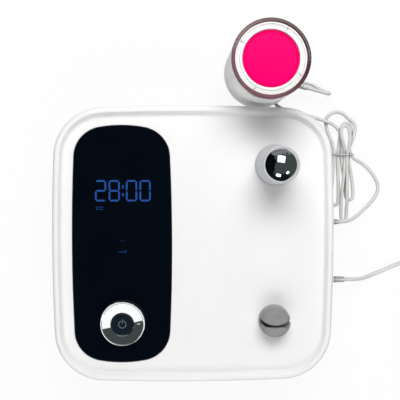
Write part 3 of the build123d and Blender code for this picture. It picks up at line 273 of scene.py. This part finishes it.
# %% The tie's twisted ends
TWIST_FROM = Vector((139.6, 48.4, 3.6))
TWIST_TO = Vector((133.6, 45.4, 2.2))
TWIST_R = 0.42
TWISTS = 2.5
TWIST_STEPS = 30
along = (TWIST_TO - TWIST_FROM).normalized()
aside = along.cross(Vector((0.0, 0.0, 1.0))).normalized()
above = aside.cross(along)
ends = []
for phase in (0.0, pi):
    route = []
    for step in range(TWIST_STEPS + 1):
        share = step / TWIST_STEPS
        angle = phase + 2 * pi * TWISTS * share
        spot = TWIST_FROM.lerp(TWIST_TO, share) + TWIST_R * (cos(angle) * aside + sin(angle) * above)
        route.append(tuple(spot))
    ends.append(cord_mesh(cord_curve("tie_end", route, TIE_THICK * MM), "tie_end"))
bpy.ops.object.select_all(action="DESELECT")
for piece in (tie, *ends):
    piece.select_set(True)
bpy.context.view_layer.objects.active = tie
bpy.ops.object.join()
print("tie faces", len(tie.data.polygons))

# %% Say what the cords are
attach(tie, "console")
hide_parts("lead_tie")
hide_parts("lead_head_run", "lead_hank", "lead_tail_run")
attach(power, "console")
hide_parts("power_run", "power_coil", "power_tail")
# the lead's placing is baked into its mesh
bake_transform(lead)

# %% [markdown]
# ## One helper for shader nodes, and one for colours
# Every finish is built from nodes. One small function adds a node, sets its own settings and input values,
# and links what feeds it, so each finish reads as a short list. Colours are written as the hex values that a
# colour picker shows, which are sRGB, and one function turns them to the linear values that a shader works
# in. In a mix of two colours, input 0 is the share, inputs 6 and 7 are the colours, and output 2 is the mix.

# %% Helpers for finishes
def linear(hex_colour):
    """An sRGB hex colour as linear red, green, blue and alpha."""
    channels = [int(hex_colour[i:i + 2], 16) / 255 for i in (1, 3, 5)]
    return tuple(c / 12.92 if c <= 0.04045 else ((c + 0.055) / 1.055) ** 2.4 for c in channels) + (1.0,)


def add(material, kind, values=None, feeds=None, **settings):
    """Adds a node: settings are its own properties, values its inputs' numbers, feeds its inputs' links."""
    node = material.node_tree.nodes.new(kind)
    for name, value in settings.items():
        setattr(node, name, value)
    for socket, value in (values or {}).items():
        node.inputs[socket].default_value = value
    for socket, source in (feeds or {}).items():
        material.node_tree.links.new(source, node.inputs[socket])
    return node


def new_finish(name):
    """An empty material with its output node, and the object coordinates that every pattern is laid in."""
    material = bpy.data.materials.new(name)
    material.use_nodes = True
    material.node_tree.nodes.clear()
    output = add(material, "ShaderNodeOutputMaterial")
    place = add(material, "ShaderNodeTexCoord").outputs["Object"]
    return material, output, place


finishes = {}
print("helpers ready")

# %% [markdown]
# ## Moulded white ABS
# The case, the post and the head are injection-moulded ABS. The tool gives it a bright satin skin: a very
# fine orange peel in the gloss, and a hardly visible drift of tone where the melt met. ABS has an IOR of
# about 1.53. The peel is about 0.6 mm from crest to crest, so its noise has a scale of about 1600 to the
# metre, and the drift is about 40 mm. Seams and grooves about a millimetre wide get a painted grey shade.

# %% Finish: moulded white ABS
material, output, place = new_finish("moulded_white_abs")
drift = add(material, "ShaderNodeTexNoise", {"Scale": 25.0, "Detail": 2.0}, {"Vector": place})
peel = add(material, "ShaderNodeTexNoise", {"Scale": 1600.0, "Detail": 2.0, "Roughness": 0.6},
           {"Vector": place})
clean = add(material, "ShaderNodeMix", {6: linear("#f4f4f3"), 7: linear("#f9f9f9")},
            {0: drift.outputs["Fac"]}, data_type="RGBA")
clean.name = "clean_tone"
# painted shade: ambient occlusion mixes grey into seams, grooves and contacts
painted_crevice_shade = add(material, "ShaderNodeAmbientOcclusion", {"Distance": 0.0015}, samples=8)
tone = add(material, "ShaderNodeMix", {6: linear("#8c8c8a")}, {0: painted_crevice_shade.outputs["AO"], 7: clean.outputs[2]},
           data_type="RGBA")
gloss = add(material, "ShaderNodeMapRange", {"To Min": 0.24, "To Max": 0.36}, {"Value": peel.outputs["Fac"]})
skin = add(material, "ShaderNodeBump", {"Strength": 0.12, "Distance": 0.00002},
           {"Height": peel.outputs["Fac"]})
shader = add(material, "ShaderNodeBsdfPrincipled", {"IOR": 1.53},
             {"Base Color": tone.outputs[2], "Roughness": gloss.outputs[0], "Normal": skin.outputs[0]})
material.node_tree.links.new(shader.outputs[0], output.inputs[0])
finishes["white_abs"] = material
print("made", material.name)

# %% Finish: the post's slightly greyer ABS
post_finish = finishes["white_abs"].copy()
post_finish.name = "moulded_pale_grey_abs"
post_tone = post_finish.node_tree.nodes["clean_tone"]
post_tone.inputs[6].default_value = linear("#c4c4c9")
post_tone.inputs[7].default_value = linear("#cdcdd2")
print("made", post_finish.name)

# %% [markdown]
# ## Rubbers
# The cord clip is a grey thermoplastic elastomer, moulded with a spark-eroded texture about 0.5 mm across
# that leaves it matt. The feet, the head's foot ring and the seals are a dark rubber, which is rougher still
# and a little dusty.

# %% Finish: moulded grey elastomer
material, output, place = new_finish("moulded_grey_elastomer")
grain = add(material, "ShaderNodeTexNoise", {"Scale": 2000.0, "Detail": 3.0}, {"Vector": place})
cloud = add(material, "ShaderNodeTexNoise", {"Scale": 140.0, "Detail": 2.0}, {"Vector": place})
tone = add(material, "ShaderNodeMix", {6: linear("#818180"), 7: linear("#9e9e9d")}, {0: cloud.outputs["Fac"]},
           data_type="RGBA")
matt = add(material, "ShaderNodeMapRange", {"To Min": 0.4, "To Max": 0.56}, {"Value": grain.outputs["Fac"]})
skin = add(material, "ShaderNodeBump", {"Strength": 0.25, "Distance": 0.00004},
           {"Height": grain.outputs["Fac"]})
shader = add(material, "ShaderNodeBsdfPrincipled", {"IOR": 1.5, "Sheen Weight": 0.05},
             {"Base Color": tone.outputs[2], "Roughness": matt.outputs[0], "Normal": skin.outputs[0]})
material.node_tree.links.new(shader.outputs[0], output.inputs[0])
finishes["grey_elastomer"] = material
print("made", material.name)

# %% Finish: dark moulded rubber
material, output, place = new_finish("dark_moulded_rubber")
grain = add(material, "ShaderNodeTexNoise", {"Scale": 1500.0, "Detail": 4.0}, {"Vector": place})
dust = add(material, "ShaderNodeTexNoise", {"Scale": 180.0, "Detail": 3.0}, {"Vector": place})
tone = add(material, "ShaderNodeMix", {6: linear("#1c1c1e"), 7: linear("#2b2b2d")}, {0: dust.outputs["Fac"]},
           data_type="RGBA")
matt = add(material, "ShaderNodeMapRange", {"To Min": 0.6, "To Max": 0.85}, {"Value": grain.outputs["Fac"]})
skin = add(material, "ShaderNodeBump", {"Strength": 0.3, "Distance": 0.00005},
           {"Height": grain.outputs["Fac"]})
shader = add(material, "ShaderNodeBsdfPrincipled", {"IOR": 1.52},
             {"Base Color": tone.outputs[2], "Roughness": matt.outputs[0], "Normal": skin.outputs[0]})
material.node_tree.links.new(shader.outputs[0], output.inputs[0])
finishes["dark_rubber"] = material
print("made", material.name)

# %% [markdown]
# ## The display window and its light
# The window is a sheet of clear acrylic, printed blue-black on the back and polished on the front, with a
# bevelled edge. Its depth is in the colour, so only the front gloss shows, with the faintest unevenness from
# the print. The lit bars are light guides that end flush with the front, so each is an emitter of the
# display's blue. The small labels below the digits are lit less than half as strongly.

# %% Finish: back-printed polished acrylic
material, output, place = new_finish("back_printed_acrylic")
print_cloud = add(material, "ShaderNodeTexNoise", {"Scale": 30.0, "Detail": 3.0}, {"Vector": place})
wipe = add(material, "ShaderNodeTexNoise", {"Scale": 60.0, "Detail": 4.0}, {"Vector": place})
tone = add(material, "ShaderNodeMix", {6: linear("#01030a"), 7: linear("#030b16")},
           {0: print_cloud.outputs["Fac"]}, data_type="RGBA")
gloss = add(material, "ShaderNodeMapRange", {"To Min": 0.03, "To Max": 0.07}, {"Value": wipe.outputs["Fac"]})
shader = add(material, "ShaderNodeBsdfPrincipled", {"IOR": 1.49, "Specular IOR Level": 0.25},
             {"Base Color": tone.outputs[2], "Roughness": gloss.outputs[0]})
material.node_tree.links.new(shader.outputs[0], output.inputs[0])
finishes["black_glass"] = material
print("made", material.name)

# %% Finish: blue display light
material, output, place = new_finish("blue_display_light")
ripple = add(material, "ShaderNodeTexNoise", {"Scale": 500.0, "Detail": 1.0}, {"Vector": place})
tone = add(material, "ShaderNodeMix", {6: linear("#1f468c"), 7: linear("#28529a")},
           {0: ripple.outputs["Fac"]}, data_type="RGBA")
LABELS_TOP_Y = 0.002  # metres: the digits are behind this line, and the labels in front of it
axes = add(material, "ShaderNodeSeparateXYZ", {}, {0: place})
behind = add(material, "ShaderNodeMath", {1: LABELS_TOP_Y}, {0: axes.outputs["Y"]}, operation="GREATER_THAN")
lit = add(material, "ShaderNodeMix", {6: linear("#132c5e")}, {0: behind.outputs[0], 7: tone.outputs[2]},
          data_type="RGBA")
shader = add(material, "ShaderNodeBsdfPrincipled",
             {"Base Color": linear("#060f20"), "Roughness": 0.15, "IOR": 1.49, "Emission Strength": 1.0},
             {"Emission Color": lit.outputs[2]})
material.node_tree.links.new(shader.outputs[0], output.inputs[0])
finishes["lit_blue"] = material
print("made", material.name)

# %% [markdown]
# ## Button, marks and chrome
# The power button is a navy cap painted with a clear gloss coat, and its symbol is a pale print set into it.
# The knob's ring is ABS plated with bright chrome and the rest's dome is plated steel: both mirror the room,
# with the faint waviness that plating over a moulding or a polished dome has.

# %% Finish: gloss-coated navy paint
material, output, place = new_finish("gloss_navy_paint")
flake = add(material, "ShaderNodeTexNoise", {"Scale": 900.0, "Detail": 2.0}, {"Vector": place})
tone = add(material, "ShaderNodeMix", {6: linear("#07131e"), 7: linear("#0c1a27")}, {0: flake.outputs["Fac"]},
           data_type="RGBA")
shader = add(material, "ShaderNodeBsdfPrincipled",
             {"Roughness": 0.25, "IOR": 1.5, "Coat Weight": 1.0, "Coat Roughness": 0.04},
             {"Base Color": tone.outputs[2]})
material.node_tree.links.new(shader.outputs[0], output.inputs[0])
finishes["navy_gloss"] = material
print("made", material.name)

# %% Finish: pale pad print
material, output, place = new_finish("pale_pad_print")
ink = add(material, "ShaderNodeTexNoise", {"Scale": 1500.0, "Detail": 2.0}, {"Vector": place})
tone = add(material, "ShaderNodeMix", {6: linear("#6c6f75"), 7: linear("#82858a")}, {0: ink.outputs["Fac"]},
           data_type="RGBA")
shader = add(material, "ShaderNodeBsdfPrincipled", {"Roughness": 0.4, "IOR": 1.5},
             {"Base Color": tone.outputs[2]})
material.node_tree.links.new(shader.outputs[0], output.inputs[0])
finishes["pale_print"] = material
print("made", material.name)

# %% Finish: bright chrome plate
material, output, place = new_finish("bright_chrome_plate")
wave = add(material, "ShaderNodeTexNoise", {"Scale": 90.0, "Detail": 2.0}, {"Vector": place})
haze = add(material, "ShaderNodeTexNoise", {"Scale": 700.0, "Detail": 3.0}, {"Vector": place})
tone = add(material, "ShaderNodeMix", {6: linear("#e3e6e6"), 7: linear("#eef0f1")}, {0: haze.outputs["Fac"]},
           data_type="RGBA")
gloss = add(material, "ShaderNodeMapRange", {"To Min": 0.03, "To Max": 0.08}, {"Value": haze.outputs["Fac"]})
skin = add(material, "ShaderNodeBump", {"Strength": 0.15, "Distance": 0.00004},
           {"Height": wave.outputs["Fac"]})
shader = add(material, "ShaderNodeBsdfPrincipled", {"Metallic": 1.0},
             {"Base Color": tone.outputs[2], "Roughness": gloss.outputs[0], "Normal": skin.outputs[0]})
material.node_tree.links.new(shader.outputs[0], output.inputs[0])
finishes["chrome"] = material
print("made", material.name)

# %% [markdown]
# ## The head's front
# The membrane is a cast silicone in a strong magenta, smooth and slightly translucent, so its colour glows a
# little from inside. Round it is a ring of clear moulded polycarbonate with a wine tint, whose thickness
# darkens whatever shows through it. On the side away from the case the tint is painted deeper and browner,
# as painted shade.

# %% Finish: cast magenta silicone
material, output, place = new_finish("cast_magenta_silicone")
cloud = add(material, "ShaderNodeTexNoise", {"Scale": 90.0, "Detail": 3.0}, {"Vector": place})
film = add(material, "ShaderNodeTexNoise", {"Scale": 260.0, "Detail": 4.0}, {"Vector": place})
tone = add(material, "ShaderNodeMix", {6: linear("#f60069"), 7: linear("#ff0073")}, {0: cloud.outputs["Fac"]},
           data_type="RGBA")
gloss = add(material, "ShaderNodeMapRange", {"To Min": 0.12, "To Max": 0.3}, {"Value": film.outputs["Fac"]})
skin = add(material, "ShaderNodeBump", {"Strength": 0.1, "Distance": 0.0001}, {"Height": film.outputs["Fac"]})
shader = add(material, "ShaderNodeBsdfPrincipled",
             {"IOR": 1.41, "Specular IOR Level": 0.06, "Subsurface Weight": 0.15, "Subsurface Scale": 0.002},
             {"Base Color": tone.outputs[2], "Roughness": gloss.outputs[0], "Normal": skin.outputs[0]})
shader.inputs["Subsurface Radius"].default_value = (1.0, 0.3, 0.5)
material.node_tree.links.new(shader.outputs[0], output.inputs[0])
finishes["magenta"] = material
print("made", material.name)

# %% Finish: tinted clear polycarbonate
material, output, place = new_finish("tinted_clear_polycarbonate")
streak = add(material, "ShaderNodeTexNoise", {"Scale": 200.0, "Detail": 2.0}, {"Vector": place})
HEAD_MIDDLE = (0.065, 0.1279, 0.0)
SHADED_SIDE = (0.85, 0.53, 0.0)  # way from the middle to the side where shade is painted into the tint
PALE_TO = -0.012  # metres that way: the tint is pale up to here
DEEP_FROM = 0.03
# painted shade: the tint grows deeper and browner towards the side away from the case
from_middle = add(material, "ShaderNodeVectorMath", {1: HEAD_MIDDLE}, {0: place}, operation="SUBTRACT")
towards = add(material, "ShaderNodeVectorMath", {1: SHADED_SIDE}, {0: from_middle.outputs[0]},
              operation="DOT_PRODUCT")
depth = add(material, "ShaderNodeMapRange", {"From Min": PALE_TO, "From Max": DEEP_FROM},
            {"Value": towards.outputs["Value"]})
pale = add(material, "ShaderNodeMix", {6: linear("#dc9caa"), 7: linear("#e8b0bc")},
           {0: streak.outputs["Fac"]}, data_type="RGBA")
tone = add(material, "ShaderNodeMix", {7: linear("#7c3c3e")}, {0: depth.outputs[0], 6: pale.outputs[2]},
           data_type="RGBA")
gloss = add(material, "ShaderNodeMapRange", {"To Min": 0.03, "To Max": 0.08},
            {"Value": streak.outputs["Fac"]})
shader = add(material, "ShaderNodeBsdfPrincipled",
             {"IOR": 1.58, "Specular IOR Level": 0.25, "Transmission Weight": 0.75},
             {"Base Color": tone.outputs[2], "Roughness": gloss.outputs[0]})
material.node_tree.links.new(shader.outputs[0], output.inputs[0])
finishes["clear_mauve"] = material
print("made", material.name)

# %% [markdown]
# ## Cord, plugs and tie
# The leads are jacketed in soft white PVC, as are their moulded plugs. The jacket is extruded, which leaves
# it satin with a slight drag along it about 1.5 mm long, and it has picked up a faint grey from handling.
# Where strands lie together and between a plug's ribs, a painted grey shade darkens it further. The tie is
# a wire in a flat grey plastic strip.

# %% Finish: extruded white PVC
material, output, place = new_finish("extruded_white_pvc")
drag = add(material, "ShaderNodeTexNoise", {"Scale": 650.0, "Detail": 3.0}, {"Vector": place})
handling = add(material, "ShaderNodeTexNoise", {"Scale": 45.0, "Detail": 3.0}, {"Vector": place})
clean = add(material, "ShaderNodeMix", {6: linear("#dadad8"), 7: linear("#e6e6e4")},
            {0: handling.outputs["Fac"]}, data_type="RGBA")
# painted shade: ambient occlusion greys the jacket where strands lie together and between ribs
painted_crevice_shade = add(material, "ShaderNodeAmbientOcclusion", {"Distance": 0.0025}, samples=8)
tone = add(material, "ShaderNodeMix", {6: linear("#6b6b68")}, {0: painted_crevice_shade.outputs["AO"], 7: clean.outputs[2]},
           data_type="RGBA")
tone.name = "jacket_tone_with_painted_shade"
gloss = add(material, "ShaderNodeMapRange", {"To Min": 0.32, "To Max": 0.5}, {"Value": drag.outputs["Fac"]})
skin = add(material, "ShaderNodeBump", {"Strength": 0.15, "Distance": 0.00005},
           {"Height": drag.outputs["Fac"]})
shader = add(material, "ShaderNodeBsdfPrincipled",
             {"IOR": 1.53, "Subsurface Weight": 0.05, "Subsurface Scale": 0.001},
             {"Base Color": tone.outputs[2], "Roughness": gloss.outputs[0], "Normal": skin.outputs[0]})
material.node_tree.links.new(shader.outputs[0], output.inputs[0])
finishes["white_cord"] = material
print("made", material.name)

# %% [markdown]
# A plug's relief has a row of slots cut in each side of it, with a solid web between the two rows. They are
# too narrow for light to reach the bottom of, so a painted shade darkens them.

# %% Finish: the plugs' moulded PVC
PLUGS = {"lead_plug": (-17.882, 140.4, 144.6, 3),  # middle's y, the slots' first and last x, slots in a row
         "power_plug": (-75.082, 140.4, 150.6, 5)}
SLOT_SHARE = 0.45  # of the distance from one slot to the next
WEB_HALF = 0.9  # half the web's thickness, in millimetres
plug_finishes = {}
for plug_name, (plug_y, first_x, last_x, slots) in PLUGS.items():
    material = finishes["white_cord"].copy()
    material.name = "moulded_white_pvc_" + plug_name
    place = add(material, "ShaderNodeTexCoord").outputs["Object"]
    axes = add(material, "ShaderNodeSeparateXYZ", {}, {0: place})
    count = add(material, "ShaderNodeMapRange",
                {"From Min": first_x * MM, "From Max": last_x * MM, "To Max": slots},
                {"Value": axes.outputs["X"]}, clamp=False).outputs[0]
    part_way = add(material, "ShaderNodeMath", {}, {0: count}, operation="FRACT").outputs[0]
    on_web = add(material, "ShaderNodeMath", {1: plug_y * MM, 2: WEB_HALF * MM}, {0: axes.outputs["Y"]},
                 operation="COMPARE").outputs[0]
    tests = ((part_way, "LESS_THAN", SLOT_SHARE), (count, "GREATER_THAN", 0.0), (count, "LESS_THAN", slots),
             (on_web, "LESS_THAN", 0.5))
    # dark: where shade is painted into the slots, off the web and within the slotted length
    dark = None
    for source, operation, limit in tests:
        passed = add(material, "ShaderNodeMath", {1: limit}, {0: source}, operation=operation).outputs[0]
        if dark is not None:
            passed = add(material, "ShaderNodeMath", {}, {0: dark, 1: passed},
                         operation="MULTIPLY").outputs[0]
        dark = passed
    skin_tone = material.node_tree.nodes["jacket_tone_with_painted_shade"]
    # painted shade in the slots
    painted_slot_shade = add(material, "ShaderNodeMix", {7: linear("#4c4c4a")},
                  {0: dark, 6: skin_tone.outputs[2]}, data_type="RGBA")
    shader = material.node_tree.nodes["Principled BSDF"]
    material.node_tree.links.new(painted_slot_shade.outputs[2], shader.inputs["Base Color"])
    plug_finishes[plug_name] = material
    print("made", material.name)

# %% Finish: grey twist-tie plastic
material, output, place = new_finish("grey_tie_plastic")
crease = add(material, "ShaderNodeTexNoise", {"Scale": 800.0, "Detail": 3.0}, {"Vector": place})
tone = add(material, "ShaderNodeMix", {6: linear("#b9b9be"), 7: linear("#c8c8cc")},
           {0: crease.outputs["Fac"]}, data_type="RGBA")
gloss = add(material, "ShaderNodeMapRange", {"To Min": 0.25, "To Max": 0.42},
            {"Value": crease.outputs["Fac"]})
skin = add(material, "ShaderNodeBump", {"Strength": 0.2, "Distance": 0.00005},
           {"Height": crease.outputs["Fac"]})
shader = add(material, "ShaderNodeBsdfPrincipled", {"IOR": 1.5},
             {"Base Color": tone.outputs[2], "Roughness": gloss.outputs[0], "Normal": skin.outputs[0]})
material.node_tree.links.new(shader.outputs[0], output.inputs[0])
finishes["tie"] = material
print("made", material.name)

# %% [markdown]
# ## What is inside and underneath
# The screws, plates, boards and windings are seldom seen, but a turned-over console shows some of them. Each
# gets a plain version of its own finish: zinc plate is a cloudy blue-grey metal, the board is green solder
# mask over a fine weave, ferrite is a dark sintered ceramic, and aluminium is brushed along its length.

# %% Finishes: metals
METALS = {"zinc_steel": ("zinc_plated_steel", "#b9bcc0", "#cdd0d3", 0.28, 0.42, (400.0, 400.0, 400.0)),
          "aluminium": ("brushed_aluminium", "#c4c6c8", "#d6d8da", 0.25, 0.45, (60.0, 2200.0, 2200.0))}
for slot_name, (name, dark, light, smooth, rough, stretch) in METALS.items():
    material, output, place = new_finish(name)
    lay_out = add(material, "ShaderNodeMapping", {"Scale": stretch}, {"Vector": place})
    brush = add(material, "ShaderNodeTexNoise", {"Scale": 1.0, "Detail": 3.0}, {"Vector": lay_out.outputs[0]})
    tone = add(material, "ShaderNodeMix", {6: linear(dark), 7: linear(light)}, {0: brush.outputs["Fac"]},
               data_type="RGBA")
    gloss = add(material, "ShaderNodeMapRange", {"To Min": smooth, "To Max": rough},
                {"Value": brush.outputs["Fac"]})
    shader = add(material, "ShaderNodeBsdfPrincipled", {"Metallic": 1.0},
                 {"Base Color": tone.outputs[2], "Roughness": gloss.outputs[0]})
    material.node_tree.links.new(shader.outputs[0], output.inputs[0])
    finishes[slot_name] = material
    print("made", material.name)

# %% Finishes: boards, ferrite, black plastic and ribbon
PLAIN = {"circuit_board": ("green_solder_mask", "#14532f", "#1b6b3c", 0.3, 900.0),
         "ferrite": ("sintered_ferrite", "#2a2a2c", "#3a3a3c", 0.6, 600.0),
         "black_part": ("black_moulded_nylon", "#141416", "#202022", 0.45, 800.0),
         "ribbon": ("grey_ribbon_pvc", "#8d9093", "#a3a6a9", 0.45, 780.0)}
for slot_name, (name, dark, light, rough, scale) in PLAIN.items():
    material, output, place = new_finish(name)
    grain = add(material, "ShaderNodeTexNoise", {"Scale": scale, "Detail": 3.0}, {"Vector": place})
    tone = add(material, "ShaderNodeMix", {6: linear(dark), 7: linear(light)}, {0: grain.outputs["Fac"]},
               data_type="RGBA")
    gloss = add(material, "ShaderNodeMapRange", {"To Min": rough - 0.08, "To Max": rough + 0.1},
                {"Value": grain.outputs["Fac"]})
    skin = add(material, "ShaderNodeBump", {"Strength": 0.15, "Distance": 0.00004},
               {"Height": grain.outputs["Fac"]})
    shader = add(material, "ShaderNodeBsdfPrincipled", {"IOR": 1.5},
                 {"Base Color": tone.outputs[2], "Roughness": gloss.outputs[0], "Normal": skin.outputs[0]})
    material.node_tree.links.new(shader.outputs[0], output.inputs[0])
    finishes[slot_name] = material
    print("made", material.name)

# %% [markdown]
# ## Dress the solid parts
# The model's record says which finish each part takes. The parts keep their meshes, and only the material in
# each slot is changed. The post and the two plugs take their own versions of their finishes.

# %% Give every solid part its finish
slot_of = {row["node"]: row["material_slot"] for row in frame["record"]["subparts"]}
for node_name, node in frame["nodes"].items():
    for material_slot in node.material_slots:
        material_slot.material = finishes[slot_of[node_name]]
frame["nodes"]["rest_post"].material_slots[0].material = post_finish
for plug_name, plug_finish in plug_finishes.items():
    frame["nodes"][plug_name].material_slots[0].material = plug_finish
for made_here, slot_name in ((lead, "white_cord"), (power, "white_cord"), (tie, "tie")):
    made_here.data.materials.clear()
    made_here.data.materials.append(finishes[slot_name])
print("dressed", len(frame["nodes"]), "parts")

# %% [markdown]
# ## Floor
# The table is a plain white sweep. A floor that only catches light goes grey where the light falls off, so
# most of what the camera sees of it is a plain white of strength 1, and the rest is a matt white that keeps
# a soft shadow. Glossy and see-through surfaces see the same white. Light that bounces off it is dimmed, so
# that it fills the sides of the console and the head only a little.

# %% Floor
FLOOR_SIZE = 1.1
PLAIN_SHARE = 0.91
bpy.ops.object.select_all(action="DESELECT")
bpy.ops.mesh.primitive_grid_add(x_subdivisions=4, y_subdivisions=4, size=FLOOR_SIZE, location=(0.0, 0.0, 0.0))
floor = bpy.context.object
floor.name = "table_floor"
material, output, _ = new_finish("white_sweep")
path = add(material, "ShaderNodeLightPath")
tone = add(material, "ShaderNodeMix", {6: linear("#f6f6f6"), 7: linear("#646464")},
           {0: path.outputs["Is Diffuse Ray"]}, data_type="RGBA")
matt = add(material, "ShaderNodeBsdfDiffuse", {}, {"Color": tone.outputs[2]})
shown_white = add(material, "ShaderNodeEmission", {"Color": (1.0, 1.0, 1.0, 1.0), "Strength": 1.0})
seen = add(material, "ShaderNodeMath", {},
           {0: path.outputs["Is Camera Ray"], 1: path.outputs["Is Glossy Ray"]}, operation="MAXIMUM")
seen_through = add(material, "ShaderNodeMath", {},
                   {0: seen.outputs[0], 1: path.outputs["Is Transmission Ray"]}, operation="MAXIMUM")
share = add(material, "ShaderNodeMath", {1: PLAIN_SHARE}, {0: seen_through.outputs[0]}, operation="MULTIPLY")
mixed = add(material, "ShaderNodeMixShader", {},
            {0: share.outputs[0], 1: matt.outputs[0], 2: shown_white.outputs[0]})
material.node_tree.links.new(mixed.outputs[0], output.inputs[0])
floor.data.materials.append(material)
print("floor", tuple(floor.dimensions))

# %% [markdown]
# ## Light
# Two large soft panels hang behind and above: a low one that gives most of the light and shows in no mirror,
# and a higher one that does show. A wide panel in front fills the near sides. Two small ones, in front and
# at the right, are there for mirrors alone, and show as bright spots in the dome. The room is a soft even
# light for matt surfaces, and the camera sees plain white past the floor. Mirrors see a dim grey-green
# ceiling, and walls that are near black at the left and in front and grey behind, with uneven edges, so that
# the dome has a room to reflect.

# %% Light panels
PANELS = [  # name, place in metres, width, height, watts, shown in mirrors, lights matt surfaces
    ("back_panel", (0.10, 0.92, 0.98), 1.20, 0.60, 11.6, False, True),
    ("key_panel", (0.12, 0.73, 1.20), 0.90, 0.85, 6.7, True, True),
    ("small_panel", (0.71, -0.64, 0.68), 0.25, 0.20, 0.65, True, False),
    ("front_panel", (-0.15, -1.10, 0.75), 0.50, 0.36, 2.2, True, False),
    ("front_fill", (-0.05, -1.15, 0.85), 1.80, 0.90, 13.4, False, True),
]
PANEL_AIM = Vector((0.0, 0.0, 0.06))
RING_PANEL_TURN = radians(13.5)


def hang_panel(name, place_m, width, height, watts):
    """A rectangular panel of light, level and facing down."""
    panel_data = bpy.data.lights.new(name, "AREA")
    panel_data.shape = "RECTANGLE"
    panel_data.size = width
    panel_data.size_y = height
    panel_data.energy = watts
    panel = bpy.data.objects.new(name, panel_data)
    bpy.context.collection.objects.link(panel)
    panel.location = place_m
    return panel


for name, place_m, width, height, watts, mirrored, lights_matt in PANELS:
    panel = hang_panel(name, place_m, width, height, watts)
    panel.visible_glossy = mirrored
    panel.visible_diffuse = lights_matt
    panel.rotation_euler = (PANEL_AIM - Vector(place_m)).to_track_quat("-Z", "Y").to_euler()
    print(name, watts, "W")

# a level panel that only the knob's ring sees: its near edge is where the ring turns from white to dark
ring_light = bpy.data.collections.new("seen_by_knob_ring")
ring_light.objects.link(frame["nodes"]["knob_ring"])
panel = hang_panel("ring_panel", (-0.328, 0.270, 1.20), 2.4, 1.4, 12.0)
panel.rotation_euler = (0.0, 0.0, RING_PANEL_TURN)
panel.light_linking.receiver_collection = ring_light
print("ring panel over the knob")

# %% Room
MATT_STRENGTH = 0.06  # what matt surfaces see of the room
CEILING = "#454c4b"
WALLS = [  # way to the wall, how far round it reaches, colour
    ((-1.0, 0.0, 0.0), 0.50, "#0a0f13"),
    ((0.0, -1.0, 0.0), 0.72, "#161b1e"),
    ((0.0, 1.0, 0.0), 0.80, "#808485"),
]
EDGE_WAVE = 0.45  # how far a wall's edge strays
EDGE_BACK = -0.22  # half of that back, so that it strays both ways
world = bpy.data.worlds.new("room")
bpy.context.scene.world = world
world.use_nodes = True
world.node_tree.nodes.clear()
room_light = add(world, "ShaderNodeBackground", {"Color": (1.0, 1.0, 1.0, 1.0), "Strength": MATT_STRENGTH})
way = add(world, "ShaderNodeTexCoord").outputs["Generated"]
edges = add(world, "ShaderNodeTexNoise", {"Scale": 3.0, "Detail": 1.0}, {"Vector": way})
uneven = add(world, "ShaderNodeVectorMath", {1: (EDGE_WAVE,) * 3, 2: (EDGE_BACK,) * 3},
             {0: edges.outputs["Color"]}, operation="MULTIPLY_ADD")
bent = add(world, "ShaderNodeVectorMath", {}, {0: way, 1: uneven.outputs[0]}, operation="ADD")
mirrored = add(world, "ShaderNodeMix", {6: linear(CEILING), 7: linear(CEILING)}, data_type="RGBA")
for wall_way, reach, colour in WALLS:
    facing = add(world, "ShaderNodeVectorMath", {1: wall_way}, {0: bent.outputs[0]}, operation="DOT_PRODUCT")
    inside = add(world, "ShaderNodeMath", {1: reach}, {0: facing.outputs["Value"]}, operation="GREATER_THAN")
    mirrored = add(world, "ShaderNodeMix", {7: linear(colour)},
                   {0: inside.outputs[0], 6: mirrored.outputs[2]}, data_type="RGBA")
room_mirrored = add(world, "ShaderNodeBackground", {"Strength": 1.0}, {"Color": mirrored.outputs[2]})
room_seen = add(world, "ShaderNodeBackground", {"Color": (1.0, 1.0, 1.0, 1.0), "Strength": 1.0})
path = add(world, "ShaderNodeLightPath")
bounced = add(world, "ShaderNodeMixShader", {}, {0: path.outputs["Is Glossy Ray"], 1: room_light.outputs[0],
                                                 2: room_mirrored.outputs[0]})
seen = add(world, "ShaderNodeMixShader", {}, {0: path.outputs["Is Camera Ray"], 1: bounced.outputs[0],
                                              2: room_seen.outputs[0]})
add(world, "ShaderNodeOutputWorld", {}, {0: seen.outputs[0]})
bpy.context.scene.view_settings.view_transform = "Standard"
print("lit")
